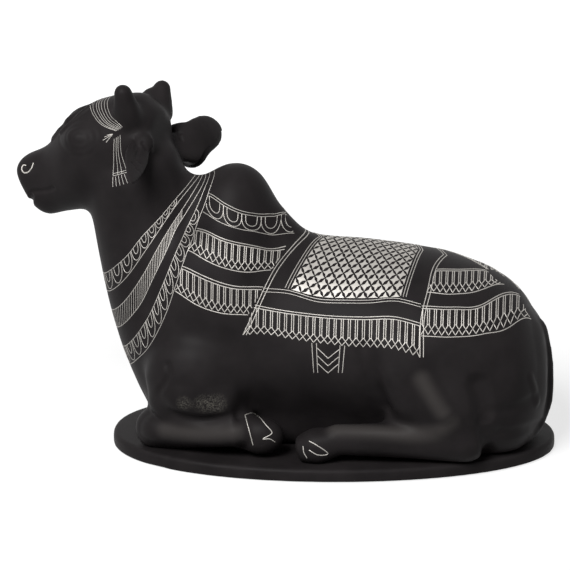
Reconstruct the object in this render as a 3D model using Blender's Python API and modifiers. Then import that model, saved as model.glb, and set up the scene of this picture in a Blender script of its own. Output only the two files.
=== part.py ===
"""Couchant bull figurine: blackened zinc castings on an oval plinth, with silver inlay.

Frame: origin at the centre of the plinth's underside, +Z up, +X towards the tail, so the bull faces -X
and its left side faces -Y. Lengths are in metres.

The castings are a plinth, a hollow body, a neck-and-head casting that seats on the body with a spigot,
two horns, two ears, four folded legs and a tail. Each silver inlay is one thin sheet that follows the
casting under it.
"""

import math

import bmesh
import bpy
from mathutils import Matrix, Vector
from mathutils.bvhtree import BVHTree

MM = 0.001

# Fits between pieces
JOINT_GAP = 0.3 * MM          # solder gap left between two castings
INLAY_GAP = 0.3 * MM          # gap between an inlay and the casting under it
INLAY_THICKNESS = 0.4 * MM

# Plinth
PLINTH_LENGTH = 149 * MM
PLINTH_WIDTH = 80 * MM
PLINTH_HEIGHT = 4.5 * MM
PLINTH_ROUNDING = 1.6 * MM
PLINTH_EGG = -0.04            # how far the widest place moves from the tail's half to the other
PLINTH_FULLNESS = 0.92        # 1 is an ellipse, and less is fuller at the ends
PLINTH_SKEW = math.radians(2) # the plate isn't quite in line with the figure
PLINTH_SIDES = 48

# Barrel of the body, measured from the top of the plinth
RUMP_X = 72.5 * MM            # rear end of the rump
BARREL_LENGTH = 136 * MM
BACK_HEIGHT = 66.5 * MM
BARREL_WIDTH = 70 * MM
CASTING_WALL = 6 * MM         # metal left round the hollow in the body

# Hollow of the flank between the folded legs, deepest along a line low on each side
BELLY_FRONT = -24 * MM
BELLY_REAR = 18 * MM
BELLY_OUT = 34 * MM
BELLY_HEIGHT = 6.5 * MM
BELLY_REACH = 26 * MM
BELLY_DEPTH = 8 * MM

# Hump
HUMP_X = -33.5 * MM
HUMP_HEIGHT = 93.3 * MM
HUMP_LENGTH = 27 * MM
HUMP_WIDTH = 34 * MM

# Neck, a column that leans forward from the chest to the head
NECK_FOOT_X = -36 * MM
NECK_FOOT_HEIGHT = 11 * MM
NECK_TOP_X = -68 * MM
NECK_TOP_HEIGHT = 94 * MM
NECK_BOW = 4.5 * MM           # how far the throat line bulges forward
NAPE_HEIGHT = 87.5 * MM       # top of the ridge between head and hump
NAPE_RADIUS = 9 * MM
CHEST_DEPTH = 50 * MM         # front to back, low on the chest
CHEST_WIDTH = 54 * MM
NECK_DEPTH = 34 * MM          # front to back, under the head
NECK_WIDTH = 29 * MM

# Head, in its own frame: it turns about a pivot at the top of the neck
HEAD_PIVOT_X = -62 * MM
HEAD_TURN = math.radians(-19) # towards the bull's right
HEAD_ROLL = math.radians(7)   # left side up
HEAD_LENGTH = 46.5 * MM       # from the pivot to the muzzle
HEAD_WIDTH = 31 * MM
POLL_HEIGHT = 114 * MM        # top of the head above the plinth
HEAD_MIDDLE = 95 * MM         # height of the line that the head rolls about
EYE_FORWARD = 20 * MM
EYE_SPREAD = 22 * MM
EYE_HEIGHT = 99 * MM
EYE_RADIUS = 5.5 * MM
MUZZLE_HEIGHT = 85 * MM       # height of the muzzle's middle
HORN_LENGTHS = {1: 11.5 * MM, -1: 10 * MM}   # left, right
HORN_ROOT_RADIUS = 5.7 * MM
HORN_TIP_RADIUS = 3.2 * MM
HORN_SEAT = 8 * MM            # how far the horn's root lies under the top of the head
HORN_LEANS = {1: Vector((0.05, 0.42, 0.90)), -1: Vector((0.10, -0.42, 0.80))}
EAR_LEANS = {1: Vector((-0.26, 0.90, -0.37)), -1: Vector((-0.30, -0.93, 0.28))}
EAR_BLADES = {1: Vector((0.80, 0, 0.60)), -1: Vector((0.50, 0, 0.87))}   # across the ear
EAR_LENGTH = 24.5 * MM
EAR_ROOT_HEIGHTS = {1: 100.6 * MM, -1: 94.5 * MM}
EAR_ROOT_BACKS = {1: 0.125, -1: 0.08}             # behind the head's pivot, as shares of its length
EAR_BREADTH = 14.5 * MM
EAR_THICKNESS = 4.6 * MM

# Seam between the neck-and-head casting and the body, measured along the neck from its foot
SEAM_AT_NAPE = 77.5 * MM
SEAM_AT_CHEST = 61.5 * MM
SPIGOT_RADIUS = 8.5 * MM
SPIGOT_LENGTH = 9 * MM
MOUTH_RADIUS = 14 * MM        # opening under the body, through which the casting core came out

# Legs and tail. OUT is a share of half the barrel's width, HEIGHT is above the plinth
CANNON_RADIUS = 6.2 * MM
FETLOCK_RADIUS = 5.2 * MM
KNEE_RADIUS = 7.6 * MM
HOOF_LENGTH = 13 * MM
HOOF_RADIUS = 6.6 * MM
UPPER_ARM = (18.5 * MM, 11 * MM, 17 * MM)    # half length, half breadth and half height
THIGH = (22 * MM, 11.5 * MM, 20 * MM)
GASKIN_RADIUS = 14 * MM
KNEE_X = -58 * MM
KNEE_OUT = 0.52
KNEE_HEIGHT = 0.72 * KNEE_RADIUS   # sunk into the plinth
ELBOW_X = -30 * MM
ELBOW_OUT = 0.76
ELBOW_HEIGHT = 1.1 * UPPER_ARM[2]
UPPER_ARM_OUT = 0.68
UPPER_ARM_HEIGHT = 1.5 * UPPER_ARM[2]
UPPER_ARM_TILT = math.radians(-12)
FORE_FETLOCK_X = -33 * MM
FORE_FETLOCK_OUT = 0.80
FORE_FETLOCK_HEIGHT = 1.55 * FETLOCK_RADIUS
FORE_HOOF_HEIGHT = 1.33 * HOOF_RADIUS
FORE_HOOF_WAY = (1, 0, -0.08)
STIFLE_X = 25 * MM
STIFLE_OUT = 0.64
STIFLE_HEIGHT = 1.45 * THIGH[2]
HOCK_X = 45 * MM
HOCK_OUT = 0.80
HOCK_HEIGHT = 0.95 * KNEE_RADIUS
THIGH_OUT = 0.70
THIGH_TILT = math.radians(25)
HIND_FETLOCK_X = 2 * MM
HIND_FETLOCK_OUT = 0.90
HIND_FETLOCK_HEIGHT = 1.45 * FETLOCK_RADIUS
HIND_HOOF_HEIGHT = 1.05 * HOOF_RADIUS
HIND_HOOF_WAY = (-1, 0, -0.28)
TAIL_RADIUS = 2.6 * MM
TAIL_ROOT_HEIGHT = 46 * MM    # where the tail leaves the rump
TUFT_REACH = 20 * MM          # how far the tuft lies forward of the rump

# Fineness of the modelled skins
SKIN_VOXEL = 1.6 * MM
TRUNK_SMOOTHING = 40
SKIN_SMOOTHING = 8
LIMB_VOXEL = 1.1 * MM
LIMB_SMOOTHING = 10
TAIL_SMOOTHING = 2
HORN_VOXEL = 0.7 * MM
EAR_VOXEL = 0.8 * MM
EAR_SMOOTHING = 3
FIGURE_TRIANGLES = 3600
LEG_TRIANGLES = 540
HORN_TRIANGLES = 220
EAR_TRIANGLES = 340
TAIL_TRIANGLES = 220

# Share of the ear's length, share of its breadth
EAR_STATIONS = (
    (0.00, 0.56), (0.12, 0.72), (0.30, 0.94), (0.50, 1.00),
    (0.68, 0.96), (0.82, 0.82), (0.92, 0.60), (0.98, 0.32),
)

# Garlands: place along the neck, as a share of its length, at the nape, side and chest, for the two edges
GARLANDS = {
    "front": ((0.704, 0.753, 0.809), (0.686, 0.699, 0.748)),
    "middle": ((0.678, 0.648, 0.680), (0.668, 0.589, 0.618)),
    "rear": ((0.660, 0.553, 0.543), (0.650, 0.506, 0.467)),
}
GARLAND_SLANT = 0.7           # how far the garlands' rays lean up the neck at the nape

# Inlay on the left of the trunk, for its two edges: place along the trunk from the plinth's middle, as a
# share of the barrel's length, and degrees down from the ridge
FLANK_INLAYS = {
    "withers_band": (
        ((-0.301, 11.5), (-0.213, 17), (-0.121, 6)),
        ((-0.316, 15), (-0.228, 22), (-0.118, 12.5))),
    "shoulder_fringe_upper": (
        ((-0.327, 19.5), (-0.228, 28), (-0.129, 19)),
        ((-0.344, 31), (-0.246, 39.6), (-0.158, 36))),
    "shoulder_fringe_lower": (
        ((-0.357, 37.5), (-0.265, 45.5), (-0.173, 45.3)),
        ((-0.374, 48.5), (-0.279, 59.5), (-0.202, 60.6))),
    "saddle_hem": (
        ((-0.143, 47.4), (0.029, 52.2), (0.206, 52.2)),
        ((-0.147, 49.2), (0.029, 54), (0.206, 54))),
    "saddle_fringe": (
        ((-0.164, 56), (0.029, 60.5), (0.206, 62.5)),
        ((-0.191, 72.3), (0.029, 77.6), (0.206, 81.5))),
    "saddle_pendant": (
        ((-0.039, 80), (0.000, 80.2), (0.037, 80)),
        ((-0.035, 94.3), (0.000, 94.1), (0.033, 93.8))),
    "rump_fringe_upper": (
        ((0.262, 22.6), (0.312, 16.5), (0.368, 4)),
        ((0.246, 43.4), (0.316, 41), (0.410, 14))),
    "rump_fringe_lower": (
        ((0.238, 53), (0.353, 48.4), (0.447, 14)),
        ((0.235, 71), (0.368, 68.9), (0.478, 41.5))),
}

# Bands whose front ends stop at the rear garland
BANDS_AT_GARLAND = ("withers_band", "shoulder_fringe_upper", "shoulder_fringe_lower")

# Inlay that crosses the ridge of the back: its front and rear edges, from the left side up to the ridge
SADDLE_INLAYS = {
    "saddle_panel": (
        ((-0.110, 44.5), (-0.070, 22), (-0.037, 0)),
        ((0.181, 48.3), (0.194, 24), (0.215, 0))),
    "saddle_front_border": (
        ((-0.215, 73), (-0.130, 29), (-0.079, 0)),
        ((-0.201, 73), (-0.117, 29), (-0.066, 0))),
    "saddle_rear_border": (
        ((0.215, 83), (0.231, 36), (0.259, 0)),
        ((0.228, 83), (0.243, 36), (0.272, 0))),
}

# Inlay on the head: place along the face as a share of its length, and degrees from its upper side
FOREHEAD_BAND = (
    ((0.101, 54), (0.235, 39), (0.332, 0)),
    ((0.055, 53), (0.160, 38), (0.223, 0)))
TASSEL = (
    ((0.103, 60), (0.130, 90), (0.151, 118)),
    ((0.061, 60), (0.071, 90), (0.050, 117)))
NOSTRIL_CURL = (
    ((0.816, 75), (0.858, 73), (0.900, 77)),
    ((0.828, 92), (0.858, 93), (0.896, 94)))

# Inlay on the outer face of a hoof: share of the hoof's length, and degrees from its upper side
HOOF_CURL = (((0.25, 35), (0.50, 30), (0.75, 35)), ((0.30, 85), (0.50, 88), (0.70, 85)))

# Fineness of an inlay sheet, in cells along and across it
BAND_CELLS = (12, 2)
PANEL_CELLS = (8, 16)
BORDER_CELLS = (1, 24)
GARLAND_CELLS = (48, 2)
FOREHEAD_CELLS = (2, 14)
TASSEL_CELLS = (6, 1)
CURL_CELLS = (3, 2)

SIDES = (-1, 1)
SIDES_BY_NAME = {"left": 1, "right": -1}   # in head coordinates, left is positive

GROUND = PLINTH_HEIGHT        # level the figure stands on
HALF_BARREL = BARREL_WIDTH / 2
UP = Vector((0, 0, 1))
LEFT = Vector((0, -1, 0))     # the bull's left


# Helpers for meshes and objects

def clear_scene():
    for obj in list(bpy.data.objects):
        bpy.data.objects.remove(obj)


def new_collection(name):
    collection = bpy.data.collections.new(name)
    bpy.context.scene.collection.children.link(collection)
    return collection


def material(name, colour, roughness, metallic):
    made = bpy.data.materials.new(name)
    made.use_nodes = True
    shader = made.node_tree.nodes["Principled BSDF"]
    shader.inputs["Base Color"].default_value = (*colour, 1.0)
    shader.inputs["Roughness"].default_value = roughness
    shader.inputs["Metallic"].default_value = metallic
    return made


def mesh_from(bm, name):
    mesh = bpy.data.meshes.new(name)
    bm.to_mesh(mesh)
    bm.free()
    return mesh


def evaluated_mesh(obj):
    """The object's mesh with its modifiers applied."""
    bpy.context.view_layer.update()
    graph = bpy.context.evaluated_depsgraph_get()
    return bpy.data.meshes.new_from_object(obj.evaluated_get(graph))


def apply_modifiers(obj):
    mesh = evaluated_mesh(obj)
    obj.modifiers.clear()
    obj.data = mesh


def place_part(name, mesh, finish):
    """Adds a finished part to the model."""
    obj = bpy.data.objects.new(name, mesh)
    PARTS.objects.link(obj)
    mesh.materials.clear()
    mesh.materials.append(finish)
    mesh.shade_smooth()
    mesh.set_sharp_from_angle(angle=math.radians(40))
    return obj


def helper(name, mesh):
    """Adds a cutter or a guide, which isn't part of the model."""
    obj = bpy.data.objects.new(name, mesh)
    CUTTERS.objects.link(obj)
    obj.hide_render = True
    obj.display_type = "WIRE"
    return obj


def loft(rings):
    """A closed skin through rings of points, each end closed by a pole at its ring's middle."""
    bm = bmesh.new()
    loops = []
    for ring in rings:
        verts = [bm.verts.new(point) for point in ring]
        loops.append([bm.edges.new((a, b)) for a, b in zip(verts, verts[1:] + verts[:1])])
    for near, far in zip(loops, loops[1:]):
        bmesh.ops.bridge_loops(bm, edges=near + far)
    for loop in (loops[0], loops[-1]):
        cap = bmesh.ops.contextual_create(bm, geom=loop)["faces"]
        bmesh.ops.poke(bm, faces=cap)
    bmesh.ops.recalc_face_normals(bm, faces=bm.faces)
    return bm


def oval(centre, up, out, half_up, half_out, sides=20, lower_fill=1.0):
    """A ring of points round a centre. A lower_fill below 1 squares the corners of its lower half."""
    points = []
    for i in range(sides):
        angle = 2 * math.pi * i / sides
        fill = lower_fill if math.cos(angle) < 0 else 1.0
        rise = math.copysign(abs(math.cos(angle)) ** fill, math.cos(angle))
        run = math.copysign(abs(math.sin(angle)) ** fill, math.sin(angle))
        points.append(centre + up * (half_up * rise) + out * (half_out * run))
    return points


def ball(centre, radii, turn=Matrix.Identity(4)):
    """An ellipsoid."""
    bm = bmesh.new()
    bmesh.ops.create_uvsphere(bm, u_segments=24, v_segments=14, radius=1.0)
    stretch = Matrix.Diagonal((*radii, 1.0))
    bmesh.ops.transform(bm, matrix=Matrix.Translation(centre) @ turn @ stretch, verts=bm.verts)
    return bm


def limb(points, radii):
    """A round limb that swells and tapers along a smooth line through the points."""
    curve = bpy.data.curves.new("limb", "CURVE")
    curve.dimensions = "3D"
    curve.bevel_depth = 1.0
    curve.bevel_resolution = 4
    curve.resolution_u = 6
    curve.use_fill_caps = True
    spline = curve.splines.new("BEZIER")
    spline.bezier_points.add(len(points) - 1)
    for knot, point, radius in zip(spline.bezier_points, points, radii):
        knot.co = point
        knot.radius = radius
        knot.handle_left_type = knot.handle_right_type = "AUTO"
    guide = helper("limb_guide", curve)
    mesh = evaluated_mesh(guide)
    bpy.data.objects.remove(guide)
    bm = bmesh.new()
    bm.from_mesh(mesh)
    bmesh.ops.remove_doubles(bm, verts=bm.verts, dist=0.01 * MM)
    bmesh.ops.recalc_face_normals(bm, faces=bm.faces)
    return bm


def fuse(forms, voxel, smoothing, triangles=None):
    """One smooth closed skin round forms that overlap, thinned to about this many triangles if it says."""
    whole = bmesh.new()
    for form in forms:
        mesh = mesh_from(form, "form")
        whole.from_mesh(mesh)
        bpy.data.meshes.remove(mesh)
    blank = helper("blank", mesh_from(whole, "blank"))
    remesh = blank.modifiers.new("Remesh", "REMESH")
    remesh.mode = "VOXEL"
    remesh.voxel_size = voxel
    smooth = blank.modifiers.new("Smooth", "SMOOTH")
    smooth.factor = 0.5
    smooth.iterations = smoothing
    apply_modifiers(blank)
    if triangles:
        blank.data.calc_loop_triangles()
        thin = blank.modifiers.new("Decimate", "DECIMATE")
        thin.ratio = min(1.0, triangles / len(blank.data.loop_triangles))
        apply_modifiers(blank)
    mesh = blank.data
    bpy.data.objects.remove(blank)
    return mesh


def swollen(mesh, amount):
    """A copy of a closed mesh whose skin is moved out by this amount."""
    bm = bmesh.new()
    bm.from_mesh(mesh)
    bm.normal_update()
    for vert in bm.verts:
        vert.co += vert.normal * amount
    return mesh_from(bm, "swollen")


def combined(mesh, other, operation):
    """A Boolean of two closed meshes."""
    base = helper("base", mesh)
    tool = helper("tool", other)
    change = base.modifiers.new("Boolean", "BOOLEAN")
    change.operation = operation
    change.object = tool
    made = evaluated_mesh(base)
    bpy.data.objects.remove(base)
    bpy.data.objects.remove(tool)
    return made


def cut(mesh, *others):
    """The mesh with its neighbours, and a solder gap round them, taken away."""
    for other in others:
        mesh = combined(mesh, swollen(other, JOINT_GAP), "DIFFERENCE")
    return mesh


def largest_piece(mesh):
    """The mesh without the small scraps that a cut can leave beside its main body."""
    bm = bmesh.new()
    bm.from_mesh(mesh)
    unseen = set(bm.verts)
    pieces = []
    while unseen:
        piece = set()
        to_visit = [unseen.pop()]
        while to_visit:
            vert = to_visit.pop()
            piece.add(vert)
            for edge in vert.link_edges:
                other = edge.other_vert(vert)
                if other in unseen:
                    unseen.remove(other)
                    to_visit.append(other)
        pieces.append(piece)
    main = max(pieces, key=len)
    bmesh.ops.delete(bm, geom=[vert for vert in bm.verts if vert not in main], context="VERTS")
    return mesh_from(bm, "piece")


def halved(mesh, point, normal):
    """What is left of a closed mesh on the side of a plane that the normal points away from."""
    bm = bmesh.new()
    bm.from_mesh(mesh)
    everything = bm.verts[:] + bm.edges[:] + bm.faces[:]
    sliced = bmesh.ops.bisect_plane(
        bm, geom=everything, plane_co=point, plane_no=normal, clear_outer=True, dist=0.001 * MM)
    rim = [item for item in sliced["geom_cut"] if isinstance(item, bmesh.types.BMEdge)]
    bmesh.ops.holes_fill(bm, edges=rim)
    bmesh.ops.triangulate(bm, faces=bm.faces)
    bmesh.ops.recalc_face_normals(bm, faces=bm.faces)
    return mesh_from(bm, "half")


# Plinth

def plinth_mesh():
    """An oval plate with a rounded upper rim."""
    skew = Matrix.Rotation(PLINTH_SKEW, 4, "Z")

    def rim(height, inset):
        ring = []
        for i in range(PLINTH_SIDES):
            angle = 2 * math.pi * i / PLINTH_SIDES
            along = math.cos(angle)
            full = math.copysign(abs(math.sin(angle)) ** PLINTH_FULLNESS, math.sin(angle))
            across = full * (1 + PLINTH_EGG * along)
            ring.append(skew @ Vector((
                (PLINTH_LENGTH / 2 - inset) * along,
                (PLINTH_WIDTH / 2 - inset) * across,
                height)))
        return ring
    steps = 3
    rings = [rim(0, 0.25 * PLINTH_ROUNDING), rim(0.25 * PLINTH_ROUNDING, 0)]
    for i in range(steps + 1):
        turn = math.pi / 2 * i / steps
        rings.append(rim(
            PLINTH_HEIGHT - PLINTH_ROUNDING * (1 - math.sin(turn)),
            PLINTH_ROUNDING * (1 - math.cos(turn))))
    return mesh_from(loft(rings), "plinth")


# Forms of the figure

# Share of the length from the rump, share of the back's height, share of the width
BARREL_STATIONS = (
    (0.010, 0.50, 0.30),
    (0.030, 0.60, 0.55),
    (0.075, 0.76, 0.79),
    (0.150, 0.865, 0.94),
    (0.260, 0.945, 1.00),
    (0.400, 0.99, 0.98),
    (0.550, 1.00, 0.93),
    (0.700, 1.04, 0.86),
    (0.850, 1.03, 0.78),
    (0.960, 0.80, 0.62),
)


def barrel_form():
    """The trunk from rump to chest, flat where it lies on the plinth."""
    rings = []
    for along, tall, wide in BARREL_STATIONS:
        top = BACK_HEIGHT * tall
        bottom = -0.06 * BACK_HEIGHT if along > 0.05 else 0.06 * BACK_HEIGHT
        middle = Vector((RUMP_X - BARREL_LENGTH * along, 0, GROUND + (top + bottom) / 2))
        rings.append(oval(
            middle, Vector((0, 0, 1)), Vector((0, 1, 0)), (top - bottom) / 2, HALF_BARREL * wide,
            lower_fill=0.65))
    return loft(rings)


def neck_line():
    """Foot, top, axis and backward direction of the neck's middle line."""
    foot = Vector((NECK_FOOT_X, 0, GROUND + NECK_FOOT_HEIGHT))
    top = Vector((NECK_TOP_X, 0, GROUND + NECK_TOP_HEIGHT))
    axis = (top - foot).normalized()
    return foot, top, axis, Vector((axis.z, 0, -axis.x))


def neck_form():
    """The chest and neck, a leaning column of ovals."""
    foot, top, axis, back = neck_line()
    rings = []
    steps = 6
    for i in range(steps + 1):
        t = i / steps
        swell = t * t * (3 - 2 * t)
        depth = CHEST_DEPTH + (NECK_DEPTH - CHEST_DEPTH) * swell
        width = CHEST_WIDTH + (NECK_WIDTH - CHEST_WIDTH) * swell
        middle = foot.lerp(top, t) - back * (NECK_BOW * math.sin(math.pi * t))
        rings.append(oval(middle, back, LEFT, depth / 2, width / 2))
    return loft(rings)


def nape_form():
    """The ridge from the back of the head to the hump."""
    height = GROUND + NAPE_HEIGHT - NAPE_RADIUS
    return limb([Vector((x, 0, height)) for x in (HEAD_PIVOT_X, (HEAD_PIVOT_X + HUMP_X) / 2, HUMP_X)],
                [NAPE_RADIUS] * 3)


def hump_form():
    """The hump over the withers, broad at its foot."""
    middle = Vector((HUMP_X, 0, GROUND + HUMP_HEIGHT - 0.9 * HUMP_LENGTH))
    return ball(middle, (0.55 * HUMP_LENGTH, HUMP_WIDTH / 2, 0.9 * HUMP_LENGTH))


def withers_form():
    """The slope from the hump down to the back."""
    crest = Vector((HUMP_X, 0, GROUND + HUMP_HEIGHT - 0.60 * HUMP_LENGTH))
    saddle = Vector((HUMP_X + 0.8 * HUMP_LENGTH, 0, GROUND + BACK_HEIGHT - 0.36 * HUMP_LENGTH))
    return limb([crest, crest.lerp(saddle, 0.5), saddle],
                [0.42 * HUMP_LENGTH, 0.40 * HUMP_LENGTH, 0.36 * HUMP_LENGTH])


def head_frame():
    """Turns head coordinates (forward, left, height above the plinth) into the figure's frame."""
    ahead = Matrix.Rotation(math.pi + HEAD_TURN, 4, "Z")
    middle = Matrix.Translation((0, 0, HEAD_MIDDLE))
    roll = middle @ Matrix.Rotation(HEAD_ROLL, 4, "X") @ middle.inverted()
    return Matrix.Translation((HEAD_PIVOT_X, 0, GROUND)) @ ahead @ roll


# Share of the head's length, rise above and fall below the head's line as shares of the poll's height, share
# of the width
HEAD_STATIONS = (
    (0.990, 0.032, 0.016, 0.40),
    (0.950, 0.048, 0.050, 0.56),
    (0.860, 0.054, 0.122, 0.60),
    (0.760, 0.070, 0.154, 0.58),
    (0.660, 0.122, 0.146, 0.68),
    (0.560, 0.170, 0.144, 0.86),
    (0.400, 0.182, 0.143, 1.00),
    (0.240, 0.190, 0.122, 1.00),
    (0.060, 0.188, 0.088, 0.92),
    (-0.100, 0.126, 0.072, 0.70),
)


def head_line(along):
    """A point of the line down the middle of the head, at a share of its length, in head coordinates."""
    return Vector((HEAD_LENGTH * along, 0, HEAD_MIDDLE + (MUZZLE_HEIGHT - HEAD_MIDDLE) * along))


def head_forms():
    frame = head_frame()
    rings = []
    for along, rise, fall, wide in HEAD_STATIONS:
        middle = head_line(along) + UP * (POLL_HEIGHT * (rise - fall) / 2)
        ring = oval(middle, UP, Vector((0, 1, 0)), POLL_HEIGHT * (rise + fall) / 2, HEAD_WIDTH / 2 * wide)
        rings.append([frame @ point for point in ring])
    eyes = [Vector((EYE_FORWARD, side * EYE_SPREAD / 2, EYE_HEIGHT)) for side in SIDES]
    return [loft(rings)] + [ball(frame @ eye, [EYE_RADIUS] * 3) for eye in eyes]


def shoulder_form(side):
    """The muscle over one shoulder blade."""
    middle = Vector((NECK_FOOT_X - 1 * MM, side * 0.30 * CHEST_WIDTH, GROUND + 0.58 * BACK_HEIGHT))
    return ball(middle, (0.50 * CHEST_DEPTH, 0.24 * CHEST_WIDTH, 0.55 * BACK_HEIGHT))


def carve_belly(bm):
    """Moves the skin inwards round the line of the hollow on each side."""
    bm.normal_update()
    depths = []
    for vert in bm.verts:
        depth = 0
        for side in SIDES:
            x = min(max(vert.co.x, BELLY_FRONT), BELLY_REAR)
            nearest = Vector((x, side * BELLY_OUT, GROUND + BELLY_HEIGHT))
            gap = min(1, (vert.co - nearest).length / BELLY_REACH)
            depth += BELLY_DEPTH * (1 - gap * gap) ** 2
        depths.append(depth)
    for vert, depth in zip(bm.verts, depths):
        vert.co -= vert.normal * depth


def figure_mesh():
    """The trunk, hump, neck and head as one skin, with the trunk softened before the head joins it."""
    trunk = [barrel_form(), neck_form(), nape_form(), hump_form(), withers_form()]
    trunk += [shoulder_form(side) for side in SIDES]
    softened = bmesh.new()
    softened.from_mesh(fuse(trunk, SKIN_VOXEL, TRUNK_SMOOTHING))
    carve_belly(softened)
    return fuse([softened, *head_forms()], SKIN_VOXEL, SKIN_SMOOTHING, FIGURE_TRIANGLES)


# Horns and ears, in head coordinates

def horn_mesh(side):
    """A short blunt horn whose root seats in the head."""
    frame = head_frame()
    root = Vector((0.058 * HEAD_LENGTH, side * 0.30 * HEAD_WIDTH, POLL_HEIGHT - HORN_SEAT))
    lean = HORN_LEANS[side].normalized()
    points = [root, root + lean * (0.5 * HORN_LENGTHS[side]), root + lean * HORN_LENGTHS[side]]
    radii = [HORN_ROOT_RADIUS, 0.5 * (HORN_ROOT_RADIUS + HORN_TIP_RADIUS), HORN_TIP_RADIUS]
    tip = ball(frame @ points[-1], [HORN_TIP_RADIUS] * 3)
    return fuse([limb([frame @ p for p in points], radii), tip], HORN_VOXEL, LIMB_SMOOTHING, HORN_TRIANGLES)


def ear_mesh(side):
    """A leaf-shaped ear that stands out sideways, with a narrow root."""
    frame = head_frame()
    root = Vector((-EAR_ROOT_BACKS[side] * HEAD_LENGTH, side * 0.36 * HEAD_WIDTH, EAR_ROOT_HEIGHTS[side]))
    along = EAR_LEANS[side].normalized()
    across = (EAR_BLADES[side] - EAR_BLADES[side].project(along)).normalized()
    face = along.cross(across)
    rings = []
    for share, breadth in EAR_STATIONS:
        bow = face * (EAR_THICKNESS * math.sin(math.pi * share) * 0.5)
        middle = root + along * (EAR_LENGTH * share) + bow
        ring = oval(middle, across, face, breadth * EAR_BREADTH / 2,
                    EAR_THICKNESS / 2 * (0.55 + 0.45 * breadth), sides=14)
        rings.append([frame @ point for point in ring])
    return fuse([loft(rings)], EAR_VOXEL, EAR_SMOOTHING, EAR_TRIANGLES)


# Legs and tail, on the bull's left side when side is -1

def beside(x, share, height, side):
    """A point beside the body: its place along the figure, its share of the half width, its height."""
    return Vector((x, side * share * HALF_BARREL, GROUND + height))


def fore_hoof_line(side):
    """Start of a front hoof at its fetlock, and the way it points, which is back along the body."""
    start = beside(FORE_FETLOCK_X, FORE_FETLOCK_OUT, FORE_HOOF_HEIGHT, side)
    return start, Vector(FORE_HOOF_WAY).normalized()


def hind_hoof_line(side):
    """Start of a hind hoof at its fetlock, and the way it points, which is forward."""
    start = beside(HIND_FETLOCK_X, HIND_FETLOCK_OUT, HIND_HOOF_HEIGHT, side)
    return start, Vector(HIND_HOOF_WAY).normalized()


def hoof_form(start, direction):
    return limb([start, start + direction * (0.5 * HOOF_LENGTH), start + direction * HOOF_LENGTH],
                [FETLOCK_RADIUS, HOOF_RADIUS, 0.72 * HOOF_RADIUS])


def foreleg_forms(side):
    """The upper arm, the forearm down to the knee, and the cannon folded back to the hoof."""
    knee = beside(KNEE_X, KNEE_OUT, KNEE_HEIGHT, side)
    elbow = beside(ELBOW_X, ELBOW_OUT, ELBOW_HEIGHT, side)
    fetlock = beside(FORE_FETLOCK_X, FORE_FETLOCK_OUT, FORE_FETLOCK_HEIGHT, side)
    middle = beside((KNEE_X + ELBOW_X) / 2, UPPER_ARM_OUT, UPPER_ARM_HEIGHT, side)
    upper = ball(middle, UPPER_ARM, Matrix.Rotation(UPPER_ARM_TILT, 4, "Y"))
    forearm = limb([elbow, elbow.lerp(knee, 0.5), knee], [1.1 * KNEE_RADIUS, KNEE_RADIUS, KNEE_RADIUS])
    cannon = limb([knee, knee.lerp(fetlock, 0.5), fetlock], [KNEE_RADIUS, CANNON_RADIUS, FETLOCK_RADIUS])
    return [upper, forearm, ball(knee, [KNEE_RADIUS] * 3), cannon, hoof_form(*fore_hoof_line(side))]


def hindleg_forms(side):
    """The thigh, the gaskin down to the hock, and the cannon forward to the hoof."""
    hock = beside(HOCK_X, HOCK_OUT, HOCK_HEIGHT, side)
    stifle = beside(STIFLE_X, STIFLE_OUT, STIFLE_HEIGHT, side)
    fetlock = beside(HIND_FETLOCK_X, HIND_FETLOCK_OUT, HIND_FETLOCK_HEIGHT, side)
    middle = beside((STIFLE_X + 2 * HOCK_X) / 3, THIGH_OUT, THIGH[2], side)
    thigh = ball(middle, THIGH, Matrix.Rotation(THIGH_TILT, 4, "Y"))
    gaskin = limb(
        [stifle, stifle.lerp(hock, 0.55), hock], [GASKIN_RADIUS, 0.8 * GASKIN_RADIUS, KNEE_RADIUS])
    cannon = limb([hock, hock.lerp(fetlock, 0.5), fetlock], [KNEE_RADIUS, CANNON_RADIUS, FETLOCK_RADIUS])
    rounded = [ball(stifle, [GASKIN_RADIUS] * 3), ball(hock, [KNEE_RADIUS] * 3)]
    return [thigh, gaskin, *rounded, cannon, hoof_form(*hind_hoof_line(side))]


def tail_form():
    """The tail, down the rump and forward along the plinth to its tuft on the left."""
    lying = GROUND + 1.6 * TAIL_RADIUS
    tuft = Vector((RUMP_X - TUFT_REACH, -0.65 * HALF_BARREL, lying))
    points = [
        Vector((RUMP_X - 5 * TAIL_RADIUS, 0, GROUND + TAIL_ROOT_HEIGHT)),
        Vector((RUMP_X - 1.6 * TAIL_RADIUS, 0, GROUND + 0.78 * TAIL_ROOT_HEIGHT)),
        Vector((RUMP_X - 0.5 * TAIL_RADIUS, -TAIL_RADIUS, GROUND + 0.48 * TAIL_ROOT_HEIGHT)),
        Vector((RUMP_X - TAIL_RADIUS, -2.4 * TAIL_RADIUS, GROUND + 0.22 * TAIL_ROOT_HEIGHT)),
        Vector((RUMP_X - 0.45 * TUFT_REACH, -0.40 * HALF_BARREL, lying)),
        tuft,
    ]
    thickness = [1.1, 1.0, 1.0, 1.0, 1.35, 0.7]
    return limb(points, [TAIL_RADIUS * share for share in thickness])


# Seam, core and the castings cut from the figure's skin

def seam_plane():
    """A point on the seam and its normal, which points to the head."""
    foot, top, axis, back = neck_line()
    nape = foot + axis * SEAM_AT_NAPE + back * (NECK_DEPTH / 2)
    chest = foot + axis * SEAM_AT_CHEST - back * (NECK_DEPTH / 2)
    normal = LEFT.cross(nape - chest).normalized()
    if normal.dot(axis) < 0:
        normal.negate()
    return (nape + chest) / 2, normal


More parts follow.
